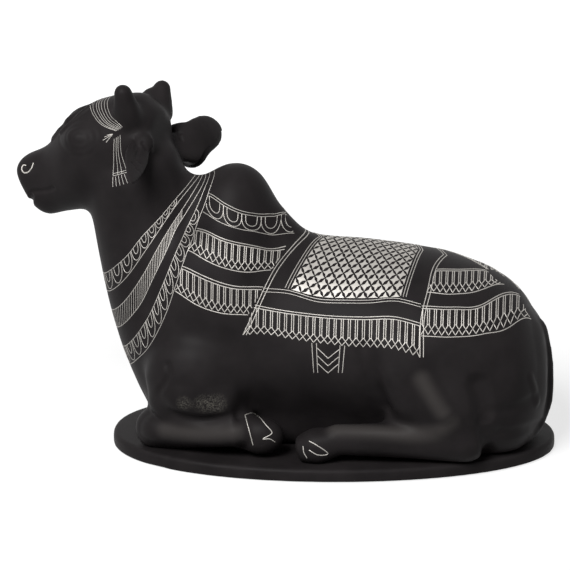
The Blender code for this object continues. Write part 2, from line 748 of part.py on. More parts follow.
def cylinder(start, direction, radius, length):
    bm = bmesh.new()
    bmesh.ops.create_cone(bm, cap_ends=True, segments=24, radius1=radius, radius2=radius, depth=length)
    turn = direction.to_track_quat("Z", "Y").to_matrix().to_4x4()
    move = Matrix.Translation(start + direction * (length / 2))
    bmesh.ops.transform(bm, matrix=move @ turn, verts=bm.verts)
    return bm


def spigot_mesh():
    """The round peg under the head casting that locates it in the body."""
    point, normal = seam_plane()
    peg = cylinder(point + normal * SPIGOT_LENGTH, -normal, SPIGOT_RADIUS, 2 * SPIGOT_LENGTH)
    return mesh_from(peg, "spigot")


def core_mesh():
    """The hollow left by the casting core, open through the underside of the body."""
    top = BACK_HEIGHT - CASTING_WALL
    bottom = CASTING_WALL
    middle = Vector((RUMP_X - 0.47 * BARREL_LENGTH, 0, GROUND + (top + bottom) / 2))
    radii = (0.42 * BARREL_LENGTH - CASTING_WALL, 0.93 * HALF_BARREL - CASTING_WALL, (top - bottom) / 2)
    hollow = mesh_from(ball(middle, radii), "core")
    mouth = cylinder(Vector((middle.x, 0, 0)), UP, MOUTH_RADIUS, middle.z)
    return combined(hollow, mesh_from(mouth, "mouth"), "UNION")


def body_mesh(figure):
    point, normal = seam_plane()
    skin = halved(figure, point - normal * (JOINT_GAP / 2), normal)
    skin = halved(skin, Vector((0, 0, GROUND + JOINT_GAP)), -UP)
    skin = cut(skin, spigot_mesh())
    return combined(skin, core_mesh(), "DIFFERENCE")


def head_mesh(figure, seated):
    """The neck-and-head casting, with its spigot and a socket for each piece that is seated in it."""
    point, normal = seam_plane()
    skin = halved(figure, point + normal * (JOINT_GAP / 2), -normal)
    return cut(combined(skin, spigot_mesh(), "UNION"), *seated)


def leg_mesh(forms, figure):
    """A folded leg, hollowed where it lies against the body and flat where it lies on the plinth."""
    skin = fuse(forms, LIMB_VOXEL, LIMB_SMOOTHING, LEG_TRIANGLES)
    skin = halved(skin, Vector((0, 0, GROUND + JOINT_GAP)), -UP)
    return largest_piece(cut(skin, figure))


def tail_mesh(figure):
    skin = fuse([tail_form()], HORN_VOXEL, TAIL_SMOOTHING, TAIL_TRIANGLES)
    skin = halved(skin, Vector((0, 0, GROUND + JOINT_GAP)), -UP)
    return largest_piece(cut(skin, figure))


# Inlay

class Spine:
    """A line inside a casting. Inlay is laid out by its share of the line and its angle round it."""

    def __init__(self, start, reach, up, left, mesh):
        self.start, self.reach, self.up, self.left = start, reach, up, left
        bm = bmesh.new()
        bm.from_mesh(mesh)
        self.skin = BVHTree.FromBMesh(bm)
        bm.free()

    def on_skin(self, share, angle):
        outward = self.up * math.cos(angle) + self.left * math.sin(angle)
        return self.skin.ray_cast(self.start + self.reach * share, outward)[0]


def rail_point(stations, t):
    """A point of the parabola through three stations, at t from 0 to 1."""
    first, middle, last = (Vector(station) for station in stations)
    return first * ((1 - t) * (1 - 2 * t)) + middle * (4 * t * (1 - t)) + last * (t * (2 * t - 1))


def lift_clear(bm, skin):
    """Lifts a sheet until its points, edges and faces clear the skin by the inlay's gap."""
    passes = 4
    groups = [[vert] for vert in bm.verts] + [item.verts[:] for item in bm.edges[:] + bm.faces[:]]
    for _ in range(passes):
        for verts in groups:
            middle = sum((vert.co for vert in verts), Vector()) / len(verts)
            nearest, normal, _, _ = skin.find_nearest(middle)
            short = INLAY_GAP - (middle - nearest).dot(normal)
            if short > 0:
                for vert in verts:
                    vert.co += normal * short


def sheet(spine, layout, cells, closed=False):
    """A thin sheet on the skin. The layout turns its two shares into a share of the spine and an angle."""
    columns, rows = cells
    bm = bmesh.new()
    bmesh.ops.create_grid(bm, x_segments=columns, y_segments=rows, size=0.5)
    for vert in bm.verts:
        vert.co = spine.on_skin(*layout(vert.co.x + 0.5, vert.co.y + 0.5))
    if closed:
        bmesh.ops.remove_doubles(bm, verts=bm.verts, dist=0.01 * MM)
    bm.faces.ensure_lookup_table()
    bm.normal_update()
    _, outward, _, _ = spine.skin.find_nearest(bm.faces[0].calc_center_median())
    if bm.faces[0].normal.dot(outward) < 0:
        bmesh.ops.reverse_faces(bm, faces=bm.faces)
        bm.normal_update()
    for vert in bm.verts:
        vert.co += vert.normal * INLAY_GAP
    lift_clear(bm, spine.skin)
    blank = helper("sheet", mesh_from(bm, "sheet"))
    thicken = blank.modifiers.new("Solidify", "SOLIDIFY")
    thicken.thickness = INLAY_THICKNESS
    thicken.offset = 1
    mesh = evaluated_mesh(blank)
    bpy.data.objects.remove(blank)
    return mesh


def between_rails(rails, side):
    """The layout of a sheet between two rails, on the left when side is 1 and on the right when it's -1."""
    def layout(t, across):
        share, angle = rail_point(rails[0], t).lerp(rail_point(rails[1], t), across)
        return share, side * math.radians(angle)
    return layout


def over_the_ridge(rails):
    """The layout of a sheet that runs from the left, over the ridge, to the right alike."""
    def layout(across, t):
        half = 2 * min(t, 1 - t)
        share, angle = rail_point(rails[0], half).lerp(rail_point(rails[1], half), across)
        return share, math.copysign(math.radians(angle), 0.5 - t)
    return layout


def round_the_neck(edges):
    """The layout of a garland, each of whose edges is set at the nape, the side and the chest."""
    def layout(t, across):
        angle = 2 * math.pi * t
        turn = math.cos(angle)
        upper, lower = (
            side + (nape - chest) / 2 * turn + ((nape + chest) / 2 - side) * turn * turn
            for nape, side, chest in edges)
        return upper + (lower - upper) * across, angle
    return layout


def on_the_hoof(t, across):
    """The layout of the curl on a hoof's outer face."""
    share, angle = rail_point(HOOF_CURL[0], t).lerp(rail_point(HOOF_CURL[1], t), across)
    return share, math.radians(angle)


clear_scene()
PARTS = new_collection("bull_figurine")
CUTTERS = new_collection("cutters")
BLACK = material("blackened_zinc", (0.022, 0.020, 0.019), 0.42, 0.6)
SILVER = material("silver", (0.82, 0.80, 0.76), 0.3, 1.0)

# Castings
figure = figure_mesh()
place_part("plinth", plinth_mesh(), BLACK)
place_part("body", body_mesh(figure), BLACK)
seated = []
legs = {}
for name, side in SIDES_BY_NAME.items():
    horn = horn_mesh(side)
    ear = largest_piece(cut(ear_mesh(side), horn))
    place_part("horn_" + name, horn, BLACK)
    place_part("ear_" + name, ear, BLACK)
    seated += [horn, ear]
    for leg, forms in (("foreleg_", foreleg_forms), ("hindleg_", hindleg_forms)):
        legs[leg + name] = leg_mesh(forms(-side), figure)
        place_part(leg + name, legs[leg + name], BLACK)
place_part("head", head_mesh(figure, seated), BLACK)
place_part("tail", tail_mesh(figure), BLACK)

# Inlay round the neck, over the back and on the flanks
foot, top, axis, back = neck_line()
neck = Spine(foot, top - foot, (back + axis * GARLAND_SLANT).normalized(), LEFT, figure)
trunk = Spine(Vector((0, 0, GROUND + BACK_HEIGHT / 2)), Vector((BARREL_LENGTH, 0, 0)), UP, LEFT, figure)
garlands = {}
for name, edges in GARLANDS.items():
    garlands[name] = sheet(neck, round_the_neck(edges), GARLAND_CELLS, closed=True)
    place_part("garland_" + name, garlands[name], SILVER)
for name, rails in SADDLE_INLAYS.items():
    cells = PANEL_CELLS if name == "saddle_panel" else BORDER_CELLS
    place_part(name, sheet(trunk, over_the_ridge(rails), cells), SILVER)
for name, rails in FLANK_INLAYS.items():
    for side_name, side in SIDES_BY_NAME.items():
        band = sheet(trunk, between_rails(rails, side), BAND_CELLS)
        if name in BANDS_AT_GARLAND:
            band = largest_piece(cut(band, garlands["rear"]))
        place_part(name + "_" + side_name, band, SILVER)

# Inlay on the head and the hooves
turn = head_frame().to_3x3()
to_muzzle = head_line(1) - head_line(0)
to_crown = Vector((-to_muzzle.z, 0, to_muzzle.x)).normalized()
face = Spine(head_frame() @ head_line(0), turn @ to_muzzle, turn @ to_crown,
             turn @ Vector((0, 1, 0)), figure)
place_part("forehead_band", sheet(face, over_the_ridge(FOREHEAD_BAND), FOREHEAD_CELLS), SILVER)
for name, side in SIDES_BY_NAME.items():
    place_part("tassel_" + name, sheet(face, between_rails(TASSEL, side), TASSEL_CELLS), SILVER)
    place_part("nostril_curl_" + name, sheet(face, between_rails(NOSTRIL_CURL, side), CURL_CELLS), SILVER)
    for leg, hoof_line in (("foreleg_", fore_hoof_line), ("hindleg_", hind_hoof_line)):
        start, direction = hoof_line(-side)
        above = (UP - UP.project(direction)).normalized()
        hoof = Spine(start, direction * HOOF_LENGTH, above, LEFT * side, legs[leg + name])
        place_part(leg + "hoof_curl_" + name, sheet(hoof, on_the_hoof, CURL_CELLS), SILVER)
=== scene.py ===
# %% [markdown]
# A lying bull in blackened cast metal, with silver wire and cut silver hammered into its surface. The
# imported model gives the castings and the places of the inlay. This lesson gives them their skin: the
# castings become a smooth skin that is sculpted and parted again, and each inlay is drawn wire by wire.

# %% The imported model
import math

import bmesh
import bpy
import numpy as np
from mathutils import Matrix, Vector
from mathutils.bvhtree import BVHTree


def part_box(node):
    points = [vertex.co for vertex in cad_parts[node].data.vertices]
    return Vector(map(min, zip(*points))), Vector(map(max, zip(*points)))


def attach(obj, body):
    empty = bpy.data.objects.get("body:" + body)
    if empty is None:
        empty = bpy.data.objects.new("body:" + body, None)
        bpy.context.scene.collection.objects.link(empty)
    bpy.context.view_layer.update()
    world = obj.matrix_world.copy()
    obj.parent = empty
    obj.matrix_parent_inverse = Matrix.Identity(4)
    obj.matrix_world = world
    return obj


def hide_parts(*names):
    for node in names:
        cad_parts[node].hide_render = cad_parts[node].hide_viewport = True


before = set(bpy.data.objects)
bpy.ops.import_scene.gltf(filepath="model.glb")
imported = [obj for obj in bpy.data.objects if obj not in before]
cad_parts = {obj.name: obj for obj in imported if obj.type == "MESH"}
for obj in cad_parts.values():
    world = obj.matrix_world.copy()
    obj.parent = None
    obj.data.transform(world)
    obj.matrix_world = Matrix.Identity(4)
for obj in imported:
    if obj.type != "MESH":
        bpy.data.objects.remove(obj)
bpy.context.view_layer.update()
MM = 0.001

# %% [markdown]
# Most steps below are those of a hand at the mouse: pick one object, add a modifier, apply it. Operators
# work on whatever is selected, so each helper first clears the selection.

# %% Hand tools
MERGE_GAP = 0.01 * MM  # points closer than this are one point
SMOOTHING = 0.5  # how far a point moves to the middle of its neighbours in one round


def pick(*objects):
    unpick()
    for obj in objects:
        obj.select_set(True)
    bpy.context.view_layer.objects.active = objects[0]


def unpick():
    bpy.ops.object.select_all(action="DESELECT")


def modify(obj, kind, **settings):
    """Adds a modifier and applies it at once."""
    pick(obj)
    modifier = obj.modifiers.new(kind.title(), kind)
    for name, value in settings.items():
        setattr(modifier, name, value)
    bpy.ops.object.modifier_apply(modifier=modifier.name)


def remesh(obj, voxel):
    """Turns all that an object holds into one even mesh."""
    modify(obj, "REMESH", mode="VOXEL", voxel_size=voxel)


def smooth_out(obj, rounds, **settings):
    modify(obj, "SMOOTH", factor=SMOOTHING, iterations=rounds, **settings)


def swell(obj, by):
    modify(obj, "DISPLACE", strength=by, mid_level=0)


def placed(name, data):
    """A new object in the scene, picked."""
    obj = bpy.data.objects.new(name, data)
    bpy.context.scene.collection.objects.link(obj)
    pick(obj)
    return obj


def edit_all(operator, **settings):
    """Runs an operator of edit mode on the whole mesh of the picked object."""
    bpy.ops.object.mode_set(mode="EDIT")
    bpy.ops.mesh.select_all(action="SELECT")
    operator(**settings)
    bpy.ops.object.mode_set(mode="OBJECT")


def node_copy(node):
    """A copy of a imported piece, with the loose triangles of its mesh merged."""
    copy = placed("copy_of_" + node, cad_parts[node].data.copy())
    edit_all(bpy.ops.mesh.remove_doubles, threshold=MERGE_GAP)
    return copy


def egg(place, radii):
    """A stretched ball, for filling hollows."""
    unpick()
    bpy.ops.mesh.primitive_uv_sphere_add(
        segments=32, ring_count=16, radius=1, location=Vector(place) * MM, scale=Vector(radii) * MM)
    bpy.ops.object.transform_apply()
    return bpy.context.object


def joined(name, objects):
    pick(*objects)
    bpy.ops.object.join()
    whole = bpy.context.object
    whole.name = whole.data.name = name
    return whole


def slice_off(obj, point, normal, fill):
    """Takes away what lies on the side of a plane that its normal points to."""
    pick(obj)
    edit_all(bpy.ops.mesh.bisect, plane_co=point, plane_no=normal, use_fill=fill, clear_outer=True)


print("hand tools ready")

# %% [markdown]
# The camera stands where the photographer stood: a long lens, a little above the back of the bull. It
# comes first, because the sculpting below takes some places from where they show in the picture.

# %% Camera
PICTURE = 570  # width and height of the picture in pixels
AIM = Vector((-16.5, 0, 55)) * MM
DISTANCE = 1.2
AZIMUTH, ELEVATION = math.radians(4), math.radians(17.5)
FIELD = 0.190  # width of the view at the bull
SENSOR = 36

unpick()
to_camera = Vector((
    math.sin(AZIMUTH) * math.cos(ELEVATION), -math.cos(AZIMUTH) * math.cos(ELEVATION), math.sin(ELEVATION)))
turn = to_camera.to_track_quat("Z", "Y")
bpy.ops.object.camera_add(location=AIM + to_camera * DISTANCE, rotation=turn.to_euler())
camera = bpy.context.object
camera.data.sensor_width = SENSOR
camera.data.lens = SENSOR * DISTANCE / FIELD
bpy.context.scene.camera = camera
print("lens:", round(camera.data.lens), "mm")

# %% [markdown]
# The figure's own lines: the trunk lies along X, the neck leans forward, and the head turns to the bull's
# right and tilts a little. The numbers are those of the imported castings.

# %% Lines of the figure
UP, LEFT = Vector((0, 0, 1)), Vector((0, -1, 0))
TRUNK_MIDDLE = Vector((0, 0, 37.75)) * MM
NECK_FOOT, NECK_TOP = Vector((-36, 0, 15.5)) * MM, Vector((-68, 0, 98.5)) * MM
NECK_SLANT = 0.7  # how far rays from the neck lean up it at the nape
SEAM_AT_NAPE, SEAM_AT_CHEST, NECK_HALF_DEPTH = 77.5 * MM, 61.5 * MM, 17 * MM
HEAD_PIVOT = Vector((-62, 0, 4.5)) * MM
HEAD_TURN, HEAD_ROLL = math.radians(-19), math.radians(7)
HEAD_MIDDLE = Vector((0, 0, 95)) * MM
TO_MUZZLE = Vector((46.5, 0, -10)) * MM

neck_way = (NECK_TOP - NECK_FOOT).normalized()
neck_back = Vector((neck_way.z, 0, -neck_way.x))
nape = NECK_FOOT + neck_way * SEAM_AT_NAPE + neck_back * NECK_HALF_DEPTH
chest = NECK_FOOT + neck_way * SEAM_AT_CHEST - neck_back * NECK_HALF_DEPTH
seam_place, seam_normal = (nape + chest) / 2, (nape - chest).cross(LEFT).normalized()
if seam_normal.z < 0:
    seam_normal.negate()
roll = (Matrix.Translation(HEAD_MIDDLE) @ Matrix.Rotation(HEAD_ROLL, 4, "X")
        @ Matrix.Translation(-HEAD_MIDDLE))
head_frame = Matrix.Translation(HEAD_PIVOT) @ Matrix.Rotation(math.pi + HEAD_TURN, 4, "Z") @ roll
print("seam normal:", [round(value, 2) for value in seam_normal])

# %% [markdown]
# A stroke follows a path on the skin and pushes it out or in, most at the path and not at all at the
# stroke's radius. Softening smooths along a path in the same way. Painting a highlight moves nothing: it
# marks the ridges where the black finish below paints a lighter tone, a painted highlight.

# %% Sculpting tools
NO_LENGTH = 1e-12  # keeps an empty piece of a path from dividing by zero


def rows(data, name):
    """What each item of mesh data holds under a name, as rows of three numbers."""
    numbers = np.empty(len(data) * 3)
    data.foreach_get(name, numbers)
    return numbers.reshape(-1, 3)


def nearness(obj, path, radius):
    """For each point of the mesh, 1 on the path and 0 from the radius outwards."""
    places, path = rows(obj.data.vertices, "co"), np.array(path)
    near = np.all((places > path.min(axis=0) - radius) & (places < path.max(axis=0) + radius), axis=1)
    gap = np.full(len(places), radius)
    for start, end in zip(path[:-1], path[1:]):
        way = end - start
        share = np.clip((places[near] - start) @ way / max(way @ way, NO_LENGTH), 0, 1)
        off_path = places[near] - start - share[:, None] * way
        gap[near] = np.minimum(gap[near], np.linalg.norm(off_path, axis=1))
    return places, (1 - (gap / radius) ** 2) ** 2


def stroke(obj, path, radius, height):
    """Raises the skin along a path, or carves it where the height is negative, in millimetres."""
    places, near = nearness(obj, path, radius * MM)
    places += rows(obj.data.vertex_normals, "vector") * (near * height * MM)[:, None]
    obj.data.vertices.foreach_set("co", places.ravel())
    obj.data.update()


def soften(obj, path, radius, rounds):
    """Smooths the skin along a path."""
    near = nearness(obj, path, radius * MM)[1]
    group = obj.vertex_groups.new(name="soft")
    for index in np.nonzero(near)[0]:
        group.add([int(index)], float(near[index]), "REPLACE")
    smooth_out(obj, rounds, vertex_group=group.name)
    obj.vertex_groups.remove(obj.vertex_groups["soft"])


def paint_highlight(obj, paths, radius):
    """Marks the skin along paths where a highlight is painted, in an attribute from 0 to 1."""
    near = np.max([nearness(obj, path, radius * MM)[1] for path in paths], axis=0)
    obj.data.attributes.new("painted_highlight", "FLOAT", "POINT").data.foreach_set("value", near)


print("sculpting tools ready")

# %% [markdown]
# The skin starts from the castings themselves. The trunk and the head are joined first, with the horns
# and ears that fill the head's sockets: all are swollen by a hair so that their seams close, the hollow
# inside is filled, a voxel remesh turns all of it into one even mesh, and a long smoothing takes the
# facets out.

# %% Trunk and head as one blank
SWELL = 0.2 * MM  # closes the solder gaps, and is taken back at the end
BLANK_VOXEL, BLANK_ROUNDS = 0.8 * MM, 24
LEGS_AND_TAIL = ["foreleg_left", "foreleg_right", "hindleg_left", "hindleg_right", "tail"]
HORNS_AND_EARS = ["horn_left", "horn_right", "ear_left", "ear_right"]
FAR_HORN_SHIFT = Vector((1.5, 0, 0)) * MM
EAR_ROOT, EAR_WAY = Vector((-5.8, 11.2, 100.6)) * MM, Vector((-0.26, 0.90, -0.37))  # of the near ear
EAR_LENGTH = 24.5 * MM
EAR_BREADTH, EAR_TAPER = 0.86, 0.60  # share of its breadth that is left at the root, and lost to the tip
EAR_SHIFT, EAR_DROOP = Vector((3.0, 0, 0)) * MM, Vector((-0.6, 0, -1.6)) * MM


def swollen_copy(node):
    """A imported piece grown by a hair. The far horn moves back, and the near ear is drawn to a point."""
    copy = node_copy(node)
    if node == "horn_right":
        for vert in copy.data.vertices:
            vert.co += FAR_HORN_SHIFT
    if node == "ear_left":
        way, to_head = EAR_WAY.normalized(), head_frame.inverted()
        for vert in copy.data.vertices:
            offset = to_head @ vert.co - EAR_ROOT
            along = way * offset.dot(way)
            share = min(1, max(0, offset.dot(way) / EAR_LENGTH))
            narrowed = along + (offset - along) * (EAR_BREADTH - EAR_TAPER * share)
            vert.co = head_frame @ (EAR_ROOT + EAR_SHIFT + narrowed + EAR_DROOP * share)
    swell(copy, SWELL)
    return copy


far_horn = sum((Vector(corner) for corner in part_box("horn_right")), Vector()) / 2 / MM
near_ear = head_frame @ (EAR_ROOT + EAR_SHIFT / 2) / MM
blank_pieces = [swollen_copy(node) for node in ["body", "head"] + HORNS_AND_EARS]
blank_pieces += [
    egg((8.6, 0, 38), (53, 28.5, 29.5)),  # the hollow left by the core
    egg((-61, 0, 76), (11.5, 11.5, 11.5)),  # the spigot between neck and body
    egg(far_horn + Vector((-1.2, 0, 1.4)), (3.4, 3.6, 4.2)),  # the broad foot of the far horn
    egg(far_horn + Vector((-4.2, 0, -1.6)), (4.2, 4.0, 4.0)),  # its front
    egg((-49, 16, 95.5), (6, 3, 6)),  # the root of the far ear
    egg((-52.5, 16.5, 102.4), (6, 3, 4.2)),  # its upper edge
    egg(near_ear, (3.4, 2.6, 3.8)),  # the socket of the near ear
]
blank = joined("blank", blank_pieces)
remesh(blank, BLANK_VOXEL)
smooth_out(blank, BLANK_ROUNDS)
print("blank:", len(blank.data.vertices), "points")

# %% [markdown]
# The blank is then used twice. Legs and tail join it in a second remesh for the body, and horns and ears
# join its upper end in a finer one for the head. A short smoothing leaves a soft fillet where they meet
# it, as wax does on a model for casting.

# %% Two skins
BODY_VOXEL, HEAD_VOXEL = 0.68 * MM, 0.42 * MM
BODY_ROUNDS, HEAD_ROUNDS, LIMB_ROUNDS = 12, 14, 10  # of smoothing
FORE_HOOF, FORE_HOOF_RADII = (-22.5, 29, 12), (8, 5.5, 6.5)  # fills out the fore hooves; millimetres
SEAM_MARGIN = 4 * MM  # kept under the seam until the head is done
SEAM_LAP = 1.2 * MM  # how far the head's skin then reaches over the body's


def grown_skin(name, core, nodes, fillings, voxel, rounds):
    """One skin round a core, the castings that meet it and what fills them out."""
    limbs = list(fillings)
    for node in nodes:
        limb = swollen_copy(node)
        remesh(limb, voxel)
        smooth_out(limb, LIMB_ROUNDS)
        limbs.append(limb)
    skin = joined(name, [core] + limbs)
    remesh(skin, voxel)
    smooth_out(skin, rounds)
    swell(skin, -SWELL)
    print(name, len(skin.data.vertices), "points")
    return skin


head_core = placed("head_core", blank.data.copy())
slice_off(head_core, seam_place - seam_normal * SEAM_MARGIN, -seam_normal, fill=True)
head_skin = grown_skin("head_skin", head_core, HORNS_AND_EARS, [], HEAD_VOXEL, HEAD_ROUNDS)
x, y, z = FORE_HOOF
fore_hooves = [egg((x, side * y, z), FORE_HOOF_RADII) for side in (1, -1)]
body_skin = grown_skin("body_skin", blank, LEGS_AND_TAIL, fore_hooves, BODY_VOXEL, BODY_ROUNDS)
slice_off(head_skin, seam_place - seam_normal * SEAM_LAP, -seam_normal, fill=False)
slice_off(body_skin, seam_place, seam_normal, fill=False)

# %% [markdown]
# A place on the skin is found with a ray. The rays start from a line inside the figure, given by
# millimetres along it and degrees round it, or from the camera, given by a pixel of the picture.

# %% Places on the skin
class Skins:
    """Both skins, as of the last refresh, ready for rays."""

    def refresh(self):
        points, faces = [], []
        for skin in (body_skin, head_skin):
            first = len(points)
            points += [vert.co.copy() for vert in skin.data.vertices]
            faces += [[first + index for index in face.vertices] for face in skin.data.polygons]
        self.tree = BVHTree.FromPolygons(points, faces)

    def hit(self, start, way):
        return self.tree.ray_cast(start, way)[:2]

    def nearest(self, place):
        return self.tree.find_nearest(place)[:2]


class Spine:
    """A line inside the figure, from which places on the skin are found."""

    def __init__(self, start, way, up, left):
        self.start, self.way, self.up, self.left = start, way.normalized(), up, left

    def place(self, along, degrees):
        angle = math.radians(degrees)
        return skins.hit(
            self.start + self.way * (along * MM), self.up * math.cos(angle) + self.left * math.sin(angle))

    def path(self, stations, side=1):
        return [self.place(along, side * degrees)[0] for along, degrees in stations]


def spot(x, y):
    """The place on the skin that shows at a pixel of the picture."""
    across, down = FIELD * (x / PICTURE - 0.5), FIELD * (y / PICTURE - 0.5)
    seen = AIM + turn @ Vector((across, -down, 0))
    return skins.hit(camera.location, (seen - camera.location).normalized())[0]


def other_side(point):
    """The place on the right of the body that mirrors a place on its left."""
    return skins.nearest(Vector((point.x, -point.y, point.z)))[0]


def other_cheek(point):
    """The same for the head, which has its own middle plane."""
    x, y, z = head_frame.inverted() @ point
    return skins.nearest(head_frame @ Vector((x, -y, z)))[0]


skins = Skins()
skins.refresh()
trunk = Spine(TRUNK_MIDDLE, Vector((1, 0, 0)), UP, LEFT)
neck = Spine(NECK_FOOT, neck_way, (neck_back + neck_way * NECK_SLANT).normalized(), LEFT)
head_turn = head_frame.to_3x3()
face_up = (head_turn @ Vector((-TO_MUZZLE.z, 0, TO_MUZZLE.x))).normalized()
face = Spine(head_frame @ HEAD_MIDDLE, head_turn @ TO_MUZZLE, face_up, head_turn @ Vector((0, 1, 0)))
print("left cheek:", [round(value / MM, 1) for value in face.place(40, 90)[0]])

# %% [markdown]
# A few stations give a line if a smooth curve is drawn through them. Each piece of the curve is a cubic
# whose slope at a station comes from the stations on both sides of it. The bull is much the same on both
# sides, so a line that is seen in the picture is worked again on its right.

# %% Smooth lines
def smooth(knots, values):
    """A smooth line through values at knots, as a function. It stays level beyond its ends."""
    knots, values = np.array(knots, dtype=float), np.array(values, dtype=float)
    slopes = np.gradient(values, knots, axis=0)

    def at(knot):
        knot = min(max(knot, knots[0]), knots[-1])
        i = int(np.clip(np.searchsorted(knots, knot) - 1, 0, len(knots) - 2))
        gap = knots[i + 1] - knots[i]
        t = (knot - knots[i]) / gap
        return ((1 + 2 * t) * (1 - t) ** 2 * values[i] + t * (1 - t) ** 2 * gap * slopes[i]
                + t * t * (3 - 2 * t) * values[i + 1] + t * t * (t - 1) * gap * slopes[i + 1])
    return at


def rail(stations):
    """A smooth line through stations, as a function of its share from 0 to 1."""
    points = np.array(stations, dtype=float)
    steps = np.linalg.norm(np.diff(points, axis=0), axis=1)
    return smooth(np.concatenate(([0], np.cumsum(steps))) / steps.sum(), points)


def traced(stations, pieces=6):
    """Close points along the smooth line through stations."""
    line, count = rail(stations), pieces * (len(stations) - 1)
    return [line(i / count) for i in range(count + 1)]


def seen_path(pixels, mirror):
    """A path on the skin along a line of pixels, and the one that mirrors it."""
    left = [spot(*pixel) for pixel in traced(pixels)]
    return left, [mirror(point) for point in left]


def on_both_sides(tool, obj, jobs, mirror):
    """Uses stroke or soften along lines of pixels, each with its two measures, on both sides."""
    for pixels, *measures in jobs:
        for path in seen_path(pixels, mirror):
            tool(obj, path, *measures)


print("lines ready")

# %% [markdown]
# The legs of a lying bull sink into its flank, so the rims of the upper arm and the thigh are softened
# away. Then the creases and the bones are made, on both sides, as a modeller does in wax before the
# casting. At last the ridges that take a painted highlight are marked.

# %% Legs
ARM_RIM = ((150, 385), (158, 355), (178, 338), (205, 335), (230, 347), (244, 372), (246, 398))
THIGH_RIM = ((392, 398), (388, 375), (398, 360), (415, 358), (430, 368), (450, 378), (478, 384), (498, 404))
BACK = ((-24, 0), (-10, 0), (5, 0))  # along the trunk, and degrees down its side
FETLOCK = ((235, 404), (244, 409), (254, 411))
STIFLE = ((392, 352), (404, 358), (412, 362), (421, 367))
ARM_FRONT = ((147, 345), (145, 370), (147, 396))
CHEST_CREASE = ((147, 394), (152, 403), (160, 411))
LEG_STROKES = {  # pixels of the path, then radius and height in millimetres
    "front of the thigh": (((384, 352), (390, 378), (402, 404)), 8, 1.8),
    "groin": (((367, 350), (374, 378), (387, 406)), 5, -1.2),
    "gaskin": (((402, 342), (416, 366), (429, 390), (442, 411)), 5.5, 1.8),
    "hind cannon": (((335, 428), (380, 431), (420, 434), (440, 430), (452, 418)), 4.5, 0.8),
    "back of the thigh": (((478, 385), (482, 400), (484, 415)), 5, -1.8),
    "back of the hock": (((484, 425), (487, 440), (486, 452)), 4, -1.5),
    "upper fold of the rump": (((490, 412), (515, 408), (535, 398)), 3, -0.5),
    "lower fold of the rump": (((485, 432), (510, 432), (540, 425)), 3, -0.5),
    "chest crease": (((151, 400), (154, 405), (160, 411)), 4, 1.8),
    "under the arm": (((166, 413), (190, 418), (215, 419), (238, 412)), 3.5, -1.2),
    "elbow": (((180, 402), (205, 407), (228, 403)), 7, 1.0),
    "fold of the arm": (((167, 365), (168, 375), (164, 384), (157, 394)), 1.8, -0.6),
    "fore cannon": (((155, 430), (195, 435), (234, 434)), 6.5, 2.0),
    "fetlock": (((240, 414), (238, 430), (243, 448)), 2.5, -0.6),
    "tail": (((531, 378), (535, 390), (537, 402)), 2.4, 0.4),
    "rump": (((540, 330), (544, 360), (544, 390)), 8, 0.8),
}
# painted highlight: pixels of the ridges of the hind gaskin, hind cannon and fore cannon, where a lighter
# tone is painted
PAINTED_HIGHLIGHTS = (
    ((422, 380), (433, 400), (442, 413)), ((335, 428), (380, 431), (420, 435), (440, 432), (451, 423)),
    ((165, 431), (195, 434), (234, 433)))
PAINTED_HIGHLIGHT_WIDTH = 4.5  # millimetres
SOFT_RIMS = ((ARM_RIM, 11, 160), (ARM_FRONT, 10, 300), (THIGH_RIM, 12, 160))  # millimetres, rounds
SOFT_FOLDS = ((CHEST_CREASE, 7, 120), (STIFLE, 9, 160), (FETLOCK, 4, 80))
BACK_RISE = (16, 1.0)  # radius and height in millimetres

on_both_sides(soften, body_skin, SOFT_RIMS, other_side)
skins.refresh()
stroke(body_skin, trunk.path(BACK), *BACK_RISE)
on_both_sides(stroke, body_skin, LEG_STROKES.values(), other_side)
skins.refresh()
on_both_sides(soften, body_skin, SOFT_FOLDS, other_side)
skins.refresh()
paint_highlight(body_skin, [path for pixels in PAINTED_HIGHLIGHTS for path in seen_path(pixels, other_side)], PAINTED_HIGHLIGHT_WIDTH)
print("leg strokes:", len(LEG_STROKES))

# %% [markdown]
# The face is plain, as on the old bronzes that such figures follow: rings round the eye, a ridge along
# the forehead, a slit for the mouth, and a few waved lines in the ear.

# %% Face
EYE = (79.4, 138)
EYE_RINGS = (  # half width and height in pixels, then radius and height in millimetres
    (20, 18.5, 1.3, -0.12), (13.5, 12, 1.3, -0.12), (7, 6, 1.2, -0.10))
BROW = ((61, 132), (68, 125), (78, 116), (89, 108.5))
BESIDE_BROW = ((62, 127), (70, 119.5), (80, 111.5), (89, 105))
FOREHEAD_EDGE = ((31, 27), (26, 27), (20, 25), (16, 20))
FOREHEAD = ((28, 0), (22, 0), (18, 0))
MOUTH = ((31.3, 124), (34, 129), (37, 131), (39.6, 131.7), (41.3, 136), (43, 150), (44, 165), (44.2, 180))
LIPS = ((41.3, 140), (43, 155), (44, 170), (44.2, 180))
NOSTRIL = ((41.6, 84), (40.8, 88))
EAR_LINES = (
    ((134, 139), (137, 144), (135, 149)), ((139, 147), (138, 152), (136, 157)),
    ((143, 143), (145, 146), (147, 150)), ((133, 163), (136, 166), (138, 170)),
    ((136, 159), (139, 161), (141, 163)))
EAR_LINE = (1.0, -0.4)  # radius and height in millimetres
HORN_FOOT = ((115, 118), (122, 127), (133, 128), (140, 120), (143, 108))
EAR_FOOT = ((121, 158), (121, 149), (125, 142), (134, 138), (145, 139))
FAR_EAR_TOP = ((178, 130), (184, 130), (191, 131), (196, 135))
FAR_EAR_FOOT = ((184, 159), (192, 160), (199, 159))
SOFT_FEET = ((HORN_FOOT, 4, 60), (EAR_FOOT, 4, 60))  # millimetres, rounds
SOFT_EAR_TOP, SOFT_EAR_FOOT = (5, 160), (7, 300)
FAR_EAR_FILL = (3.5, 2.6)  # radius and height in millimetres
BROW_STROKES = ((BROW, 1.6, 0.7), (BESIDE_BROW, 2.2, -0.9))
